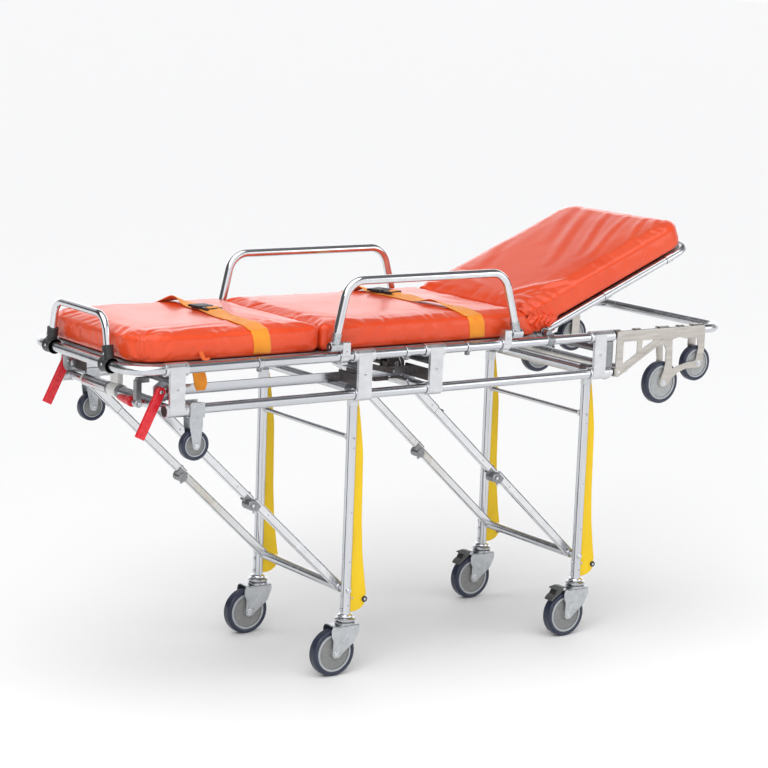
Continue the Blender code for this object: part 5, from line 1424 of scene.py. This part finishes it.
# gathered cover cloth beside the hinge, under the turn of the mattress
def gather(name, s):
    nu, nv = 70, 26
    V, F = [], []
    for side in (0, 1):
        for i in range(nu + 1):
            u = i / nu
            for j in range(nv + 1):
                v = j / nv
                x = 0.262 + 0.098 * u + 0.006 * math.sin(9 * v + 3 * u)
                top = 0.918 + 0.016 * u
                bot = 0.866 + 0.010 * math.sin(math.pi * u)
                z = bot + (top - bot) * v + 0.004 * math.sin(14 * u + 2 * v)
                puff = math.sin(math.pi * u) ** 0.7 * math.sin(math.pi * min(1, v * 0.92 + 0.04)) ** 0.6
                f = math.sin(2 * math.pi * (u * 6.0 + 0.35 * math.sin(4 * v)) + 1.5 * fbm(u * 6, v * 3, 2.2))
                g = fbm(u * 14, v * 9, 5.0 + s)
                y = 0.2405 + 0.010 * puff + 0.0055 * puff * f + 0.0030 * g * puff
                if side:
                    y -= 0.0022 + 0.010 * puff * 0.3
                V.append(Vector((x, s * y, z)))
    k = (nu + 1) * (nv + 1)

    def idx(a, i, j):
        return a * k + i * (nv + 1) + j
    for i in range(nu):
        for j in range(nv):
            F.append((idx(0, i, j), idx(0, i + 1, j), idx(0, i + 1, j + 1), idx(0, i, j + 1)))
            F.append((idx(1, i, j), idx(1, i, j + 1), idx(1, i + 1, j + 1), idx(1, i + 1, j)))
    for i in range(nu):
        F.append((idx(0, i, 0), idx(1, i, 0), idx(1, i + 1, 0), idx(0, i + 1, 0)))
        F.append((idx(0, i, nv), idx(0, i + 1, nv), idx(1, i + 1, nv), idx(1, i, nv)))
    for j in range(nv):
        F.append((idx(0, 0, j), idx(0, 0, j + 1), idx(1, 0, j + 1), idx(1, 0, j)))
        F.append((idx(0, nu, j), idx(1, nu, j), idx(1, nu, j + 1), idx(0, nu, j + 1)))
    if volume(V, F) < 0:
        F = [tuple(reversed(f)) for f in F]
    me = bpy.data.meshes.new(name)
    me.from_pydata([tuple(v) for v in V], [], F)
    ob = soft_piece(name, me, ["vinyl"])
    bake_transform(ob)
    return ob


for nm, s in SIDES:
    gather("cover_gather_" + nm, s)


# ---------------------------------------------------------------------- belts
def ribbon(name, rows, th, mt, body="frame", node_=None):
    """rows: list of (left edge, right edge, normal). Closed strap with rounded selvedges."""
    me = bpy.data.meshes.new(name)
    V, F, UVW = [], [], []
    m = 13
    dist = 0.0
    prev = None
    for a, b, n in rows:
        c = (a + b) / 2
        if prev is not None:
            dist += (c - prev).length
        prev = c
        w = (b - a).length
        for k in range(m):
            q = k / (m - 1)
            e = th / 2 * (0.55 if k in (0, m - 1) else 1.0)
            V.append(a.lerp(b, q) + n * e)
            UVW.append((dist, q * w, 0.0))
        for k in range(m):
            q = 1 - k / (m - 1)
            e = th / 2 * (0.55 if k in (0, m - 1) else 1.0)
            V.append(a.lerp(b, q) - n * e)
            UVW.append((dist, q * w, 1.0))
    r = 2 * m
    for i in range(len(rows) - 1):
        for k in range(r):
            j = (k + 1) % r
            F.append((i * r + k, i * r + j, (i + 1) * r + j, (i + 1) * r + k))
    F.append(tuple(range(r))[::-1])
    F.append(tuple(range((len(rows) - 1) * r, len(rows) * r)))
    Vv = [Vector(v) for v in V]
    if volume(Vv, F) < 0:
        F = [tuple(reversed(f)) for f in F]
    me.from_pydata([tuple(v) for v in V], [], F)
    at = me.attributes.new("strap", "FLOAT_VECTOR", "POINT")
    for i, u in enumerate(UVW):
        at.data[i].vector = u
    ob = soft_piece(name, me, [mt])
    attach(ob, body)
    if node_:
        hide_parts(node_)
    return ob


def smooth_rows(rows, it=2):
    for _ in range(it):
        rows = [rows[0]] + [tuple((rows[i - 1][k] + rows[i][k] * 2 + rows[i + 1][k]) / 4 for k in range(3))
                            for i in range(1, len(rows) - 1)] + [rows[-1]]
    return [(a, b, n.normalized()) for a, b, n in rows]


def belt(name, xn, xf, w, by, twist):
    """Webbing over the mattress, down both of its sides and under the side rail."""
    rows = []
    ye = 0.2575
    # the far side up, over the top, down the near side
    for k in range(12):
        z = 0.866 + (T1 - 0.004 - 0.866) * k / 11
        rows.append(("s", 1, z))
    for k in range(61):
        rows.append(("t", 0.250 - 0.500 * k / 60, 0))
    for k in range(12):
        z = T1 - 0.004 - (T1 - 0.004 - 0.866) * k / 11
        rows.append(("s", -1, z))
    out = []
    for kind, q, z in rows:
        if kind == "s":
            x = xf if q > 0 else xn
            lean = 0.010 * (T1 - z) / 0.07
            a, b = Vector((x - w / 2 + lean, q * ye, z)), Vector((x + w / 2 + lean, q * ye, z))
            for p in (a, b):
                h = (TREES["foot"] if p.x < X_FOLD else TREES["seat"]).ray_cast(Vector((p.x, q * 0.32, z)), Vector((0, -q, 0)))
                if h[0] is not None:
                    p.y = q * (abs(h[0].y) + 0.0016)
            out.append((a, b, Vector((0, q, 0))))
        else:
            u = (0.250 - q) / 0.5
            x = xf + (xn - xf) * u + 0.010 * math.sin(math.pi * 2 * u)
            tw = twist(q)
            a = Vector((x - w / 2, q - 0.006, 0))
            b = Vector((x + w / 2, q + 0.006, 0))
            if abs(q) > 0.24:
                a.y, b.y = q, q
            a.z, b.z = top_z(a.x, a.y) + 0.0018, top_z(b.x, b.y) + 0.0018
            if abs(q) > 0.238:
                k = (abs(q) - 0.238) / 0.012
                a.z -= 0.004 * k * k
                b.z -= 0.004 * k * k
            lift_a, lift_b, nar = tw
            c = (a + b) / 2
            a = c + (a - c) * nar + Vector((0, 0, lift_a))
            b = c + (b - c) * nar + Vector((0, 0, lift_b))
            d = (b - a).normalized()
            n = d.cross(Vector((0, -1, 0)))
            if n.z < 0:
                n = -n
            out.append((a, b, n.normalized()))
    return ribbon(name, smooth_rows(out, 2), 0.0017, "belt", node_=name.replace("_strap", ""))


def bump(y, c, w):
    return math.exp(-((y - c) / w) ** 2)


belt("belt_foot_strap", -0.574, -0.580, 0.049, 0.018,
     lambda y: (0.020 * bump(y, 0.165, 0.040) + 0.003 * bump(y, 0.0, 0.05), 0.002 + 0.006 * bump(y, -0.03, 0.05),
                1 - 0.22 * bump(y, 0.165, 0.05) - 0.10 * bump(y, 0.02, 0.04)))
belt("belt_seat_strap", 0.085, 0.010, 0.049, 0.110,
     lambda y: (0.016 * bump(y, -0.115, 0.045) + 0.018 * bump(y, 0.200, 0.030), 0.002 + 0.004 * bump(y, 0.02, 0.05),
                1 - 0.25 * bump(y, -0.10, 0.05) - 0.15 * bump(y, 0.195, 0.03)))


def buckle(name, xn, xf, by, node_, rot):
    u = (0.250 - by) / 0.5
    xc = xf + (xn - xf) * u + 0.010 * math.sin(math.pi * 2 * u)
    zc = max(top_z(xc - 0.02, by), top_z(xc + 0.02, by), top_z(xc, by)) + 0.0040
    M = Matrix.Translation(Vector((xc, by, zc))) @ Matrix.Rotation(rot, 4, "Z")
    P = []

    def add(vf, mt):
        P.append(((([M @ Vector(v) for v in vf[0]]), vf[1]), mt))
    # female shell, waisted
    body = fil([(-0.0235, -0.002), (-0.0235, 0.030), (-0.0180, 0.038), (0.0180, 0.038), (0.0235, 0.030), (0.0235, -0.002),
                (0.0190, -0.008), (-0.0190, -0.008)], 0.004)
    add(plate(body, 0.0006, 0.0096, axis="z", bev=0.0022), "black")
    add(plate(rrect(-0.0150, 0.0150, 0.004, 0.026, 0.003), 0.0090, 0.0103, axis="z", bev=0.0005), "black")
    # windows where the prongs show
    for k in (-1, 1):
        add(box(k * 0.0238 - 0.0016, k * 0.0238 + 0.0016, 0.006, 0.022, 0.0025, 0.0078, 0.0008), "black")
    # male half with the webbing bars
    add(plate(fil([(-0.0245, -0.0420), (0.0245, -0.0420), (0.0245, -0.0200), (0.0150, -0.0080), (-0.0150, -0.0080),
                   (-0.0245, -0.0200)], 0.003), 0.0012, 0.0082, [rrect(-0.0195, 0.0195, -0.0375, -0.0315, 0.001),
                                                                rrect(-0.0195, 0.0195, -0.0270, -0.0205, 0.001)],
              axis="z", bev=0.0012), "black")
    add(box(-0.0260, 0.0260, 0.0345, 0.0405, 0.0030, 0.0090, 0.0014), "black")
    ob = piece(name, "frame", P, node_)
    # webbing that loops through the two bars
    rows = []
    for y, z in ((-0.0560, -0.0005), (-0.0450, 0.0010), (-0.0400, 0.0060), (-0.0345, 0.0098), (-0.0290, 0.0104), (-0.0240, 0.0090),
                 (-0.0190, 0.0050), (-0.0150, 0.0006)):
        rows.append((M @ Vector((-0.0185, y, z)), M @ Vector((0.0185, y, z)), Vector((0, 0, 1))))
    ribbon(name + "_web", smooth_rows(rows, 1), 0.0015, "belt")
    return ob


buckle("buckle_foot_shell", -0.574, -0.580, 0.018, "buckle_foot", 0.10)
buckle("buckle_seat_shell", 0.085, 0.010, 0.110, "buckle_seat", 0.28)

# tie loop of the cover round the near rail, and the loose strap end under it
pts = bend([(-0.741, -0.2470, 0.8860), (-0.740, -0.2530, 0.8760), (-0.737, -0.2585, 0.8660), (-0.732, -0.2650, 0.8628),
            (-0.727, -0.2600, 0.8690)], [0, 0.004, 0.004, 0.0025, 0], 6)
rows = []
for i, p in enumerate(pts):
    t = (pts[min(len(pts) - 1, i + 1)] - pts[max(0, i - 1)]).normalized()
    w = Vector((1, 0.1, 0)).normalized()
    n = t.cross(w).normalized()
    rows.append((p - w * 0.0062, p + w * 0.0062, n))
ribbon("cover_tie_near", rows, 0.0012, "tie")
rows = []
for k in range(18):
    u = k / 17
    c = Vector((-0.740 + 0.010 * u, -0.2330 - 0.006 * math.sin(3 * u), 0.8400 - 0.055 * u))
    w = Vector((math.cos(0.5 * u), -math.sin(0.5 * u), 0.12)).normalized()
    hw = 0.0165 * (1 - 0.35 * max(0, u - 0.7) / 0.3)
    n = w.cross(Vector((0, 0, -1))).normalized()
    rows.append((c - w * hw, c + w * hw, n))
ribbon("strap_end_near", smooth_rows(rows, 1), 0.0016, "belt")

# ------------------------------------------------------------ floor and light
bm = bmesh.new()
bmesh.ops.create_grid(bm, x_segments=8, y_segments=8, size=900)
me = bpy.data.meshes.new("floor")
bm.to_mesh(me)
bm.free()
floor = bpy.data.objects.new("floor", me)
SC.collection.objects.link(floor)
fm = surf("floor_mat", (0.95, 0.95, 0.95), (0.96, 0.96, 0.96), 0.0, 0.7, 0.8, (2, 2, 2), spec=0.2)
me.materials.append(fm)

w = bpy.data.worlds.new("studio")
SC.world = w
w.use_nodes = True
nt = w.node_tree
bg = nt.nodes["Background"]
tc = nt.nodes.new("ShaderNodeTexCoord")
sp = nt.nodes.new("ShaderNodeSeparateXYZ")
nt.links.new(tc.outputs["Generated"], sp.inputs[0])
cr = nt.nodes.new("ShaderNodeValToRGB")
el = cr.color_ramp.elements
el[0].position, el[0].color = 0.0, (0.80, 0.80, 0.81, 1)
el[1].position, el[1].color = 1.0, (0.55, 0.56, 0.58, 1)
for pos, v in ((0.06, 1.15), (0.30, 1.10), (0.46, 0.62), (0.64, 0.14), (0.82, 0.18)):
    e = el.new(pos)
    e.color = (v, v, v * 1.02, 1)
nt.links.new(sp.outputs["Z"], cr.inputs["Fac"])


def lobe(direction, lo, hi, to0, to1):
    """Brightness factor of the room round one horizontal direction."""
    d = nt.nodes.new("ShaderNodeVectorMath")
    d.operation = "DOT_PRODUCT"
    d.inputs[1].default_value = Vector(direction).normalized()
    nt.links.new(tc.outputs["Generated"], d.inputs[0])
    m = nt.nodes.new("ShaderNodeMapRange")
    m.interpolation_type = "SMOOTHSTEP"
    m.inputs["From Min"].default_value, m.inputs["From Max"].default_value = lo, hi
    m.inputs["To Min"].default_value, m.inputs["To Max"].default_value = to0, to1
    nt.links.new(d.outputs["Value"], m.inputs["Value"])
    return m.outputs[0]


f = None
for args in (((-0.93, 0.36, 0.0), 0.40, 0.72, 1.0, 0.10), ((0.57, 0.82, 0.0), 0.6, 0.95, 1.0, 1.55),
             ((0.95, -0.30, 0.0), 0.84, 0.97, 1.0, 0.22)):
    o = lobe(*args)
    if f is None:
        f = o
    else:
        mu = nt.nodes.new("ShaderNodeMath")
        mu.operation = "MULTIPLY"
        nt.links.new(f, mu.inputs[0])
        nt.links.new(o, mu.inputs[1])
        f = mu.outputs[0]
nt.links.new(cr.outputs["Color"], bg.inputs["Color"])
nt.links.new(f, bg.inputs["Strength"])
# plain white backdrop
bg2 = nt.nodes.new("ShaderNodeBackground")
bg2.inputs["Color"].default_value = (1, 1, 1, 1)
bg2.inputs["Strength"].default_value = 1.0
lp = nt.nodes.new("ShaderNodeLightPath")
mx = nt.nodes.new("ShaderNodeMixShader")
nt.links.new(lp.outputs["Is Camera Ray"], mx.inputs["Fac"])
nt.links.new(bg.outputs[0], mx.inputs[1])
nt.links.new(bg2.outputs[0], mx.inputs[2])
nt.links.new(mx.outputs[0], [n for n in nt.nodes if n.type == "OUTPUT_WORLD"][0].inputs["Surface"])


def area(name, loc, target, size, power, size_y=None):
    li = bpy.data.lights.new(name, "AREA")
    li.shape = "RECTANGLE"
    li.size, li.size_y = size, size_y or size
    li.energy = power
    ob = bpy.data.objects.new(name, li)
    ob.location = loc
    ob.rotation_mode = "QUATERNION"
    ob.rotation_quaternion = (Vector(target) - Vector(loc)).to_track_quat("-Z", "Y")
    SC.collection.objects.link(ob)
    return ob


area("key", (-3.4, -2.6, 3.4), (0, 0, 0.7), 2.2, 45)
area("fill", (3.6, -3.4, 2.0), (0.3, 0, 0.6), 2.4, 22)
sun = bpy.data.lights.new("soft_sky", "SUN")
sun.energy, sun.angle = 2.05, math.radians(80)
so = bpy.data.objects.new("soft_sky", sun)
so.rotation_mode = "QUATERNION"
so.rotation_quaternion = Vector((0.35, 0.25, -1.0)).to_track_quat("-Z", "Y")
SC.collection.objects.link(so)

# --------------------------------------------------------------------- camera
cam = bpy.data.cameras.new("cam")
cam.sensor_width = 36.0
cam.lens = 2209.2 / 768 * 36.0
cam.clip_start, cam.clip_end = 0.1, 4000
co = bpy.data.objects.new("cam", cam)
yaw, pitch, roll = 0.6130, 0.1792, 0.0381
cy, sy_, cp, sp_ = math.cos(yaw), math.sin(yaw), math.cos(pitch), math.sin(pitch)
fw = Vector((cp * sy_, cp * cy, -sp_))
rt = Vector((cy, -sy_, 0))
up = rt.cross(fw)
c, s = math.cos(roll), math.sin(roll)
X, Y, Z = c * rt + s * up, -s * rt + c * up, -fw
co.matrix_world = Matrix(((X.x, Y.x, Z.x, -3.3867), (X.y, Y.y, Z.y, -4.7792), (X.z, Y.z, Z.z, 1.7683), (0, 0, 0, 1)))
SC.collection.objects.link(co)
SC.camera = co
SC.view_settings.view_transform = "Standard"
SC.view_settings.look = "None"
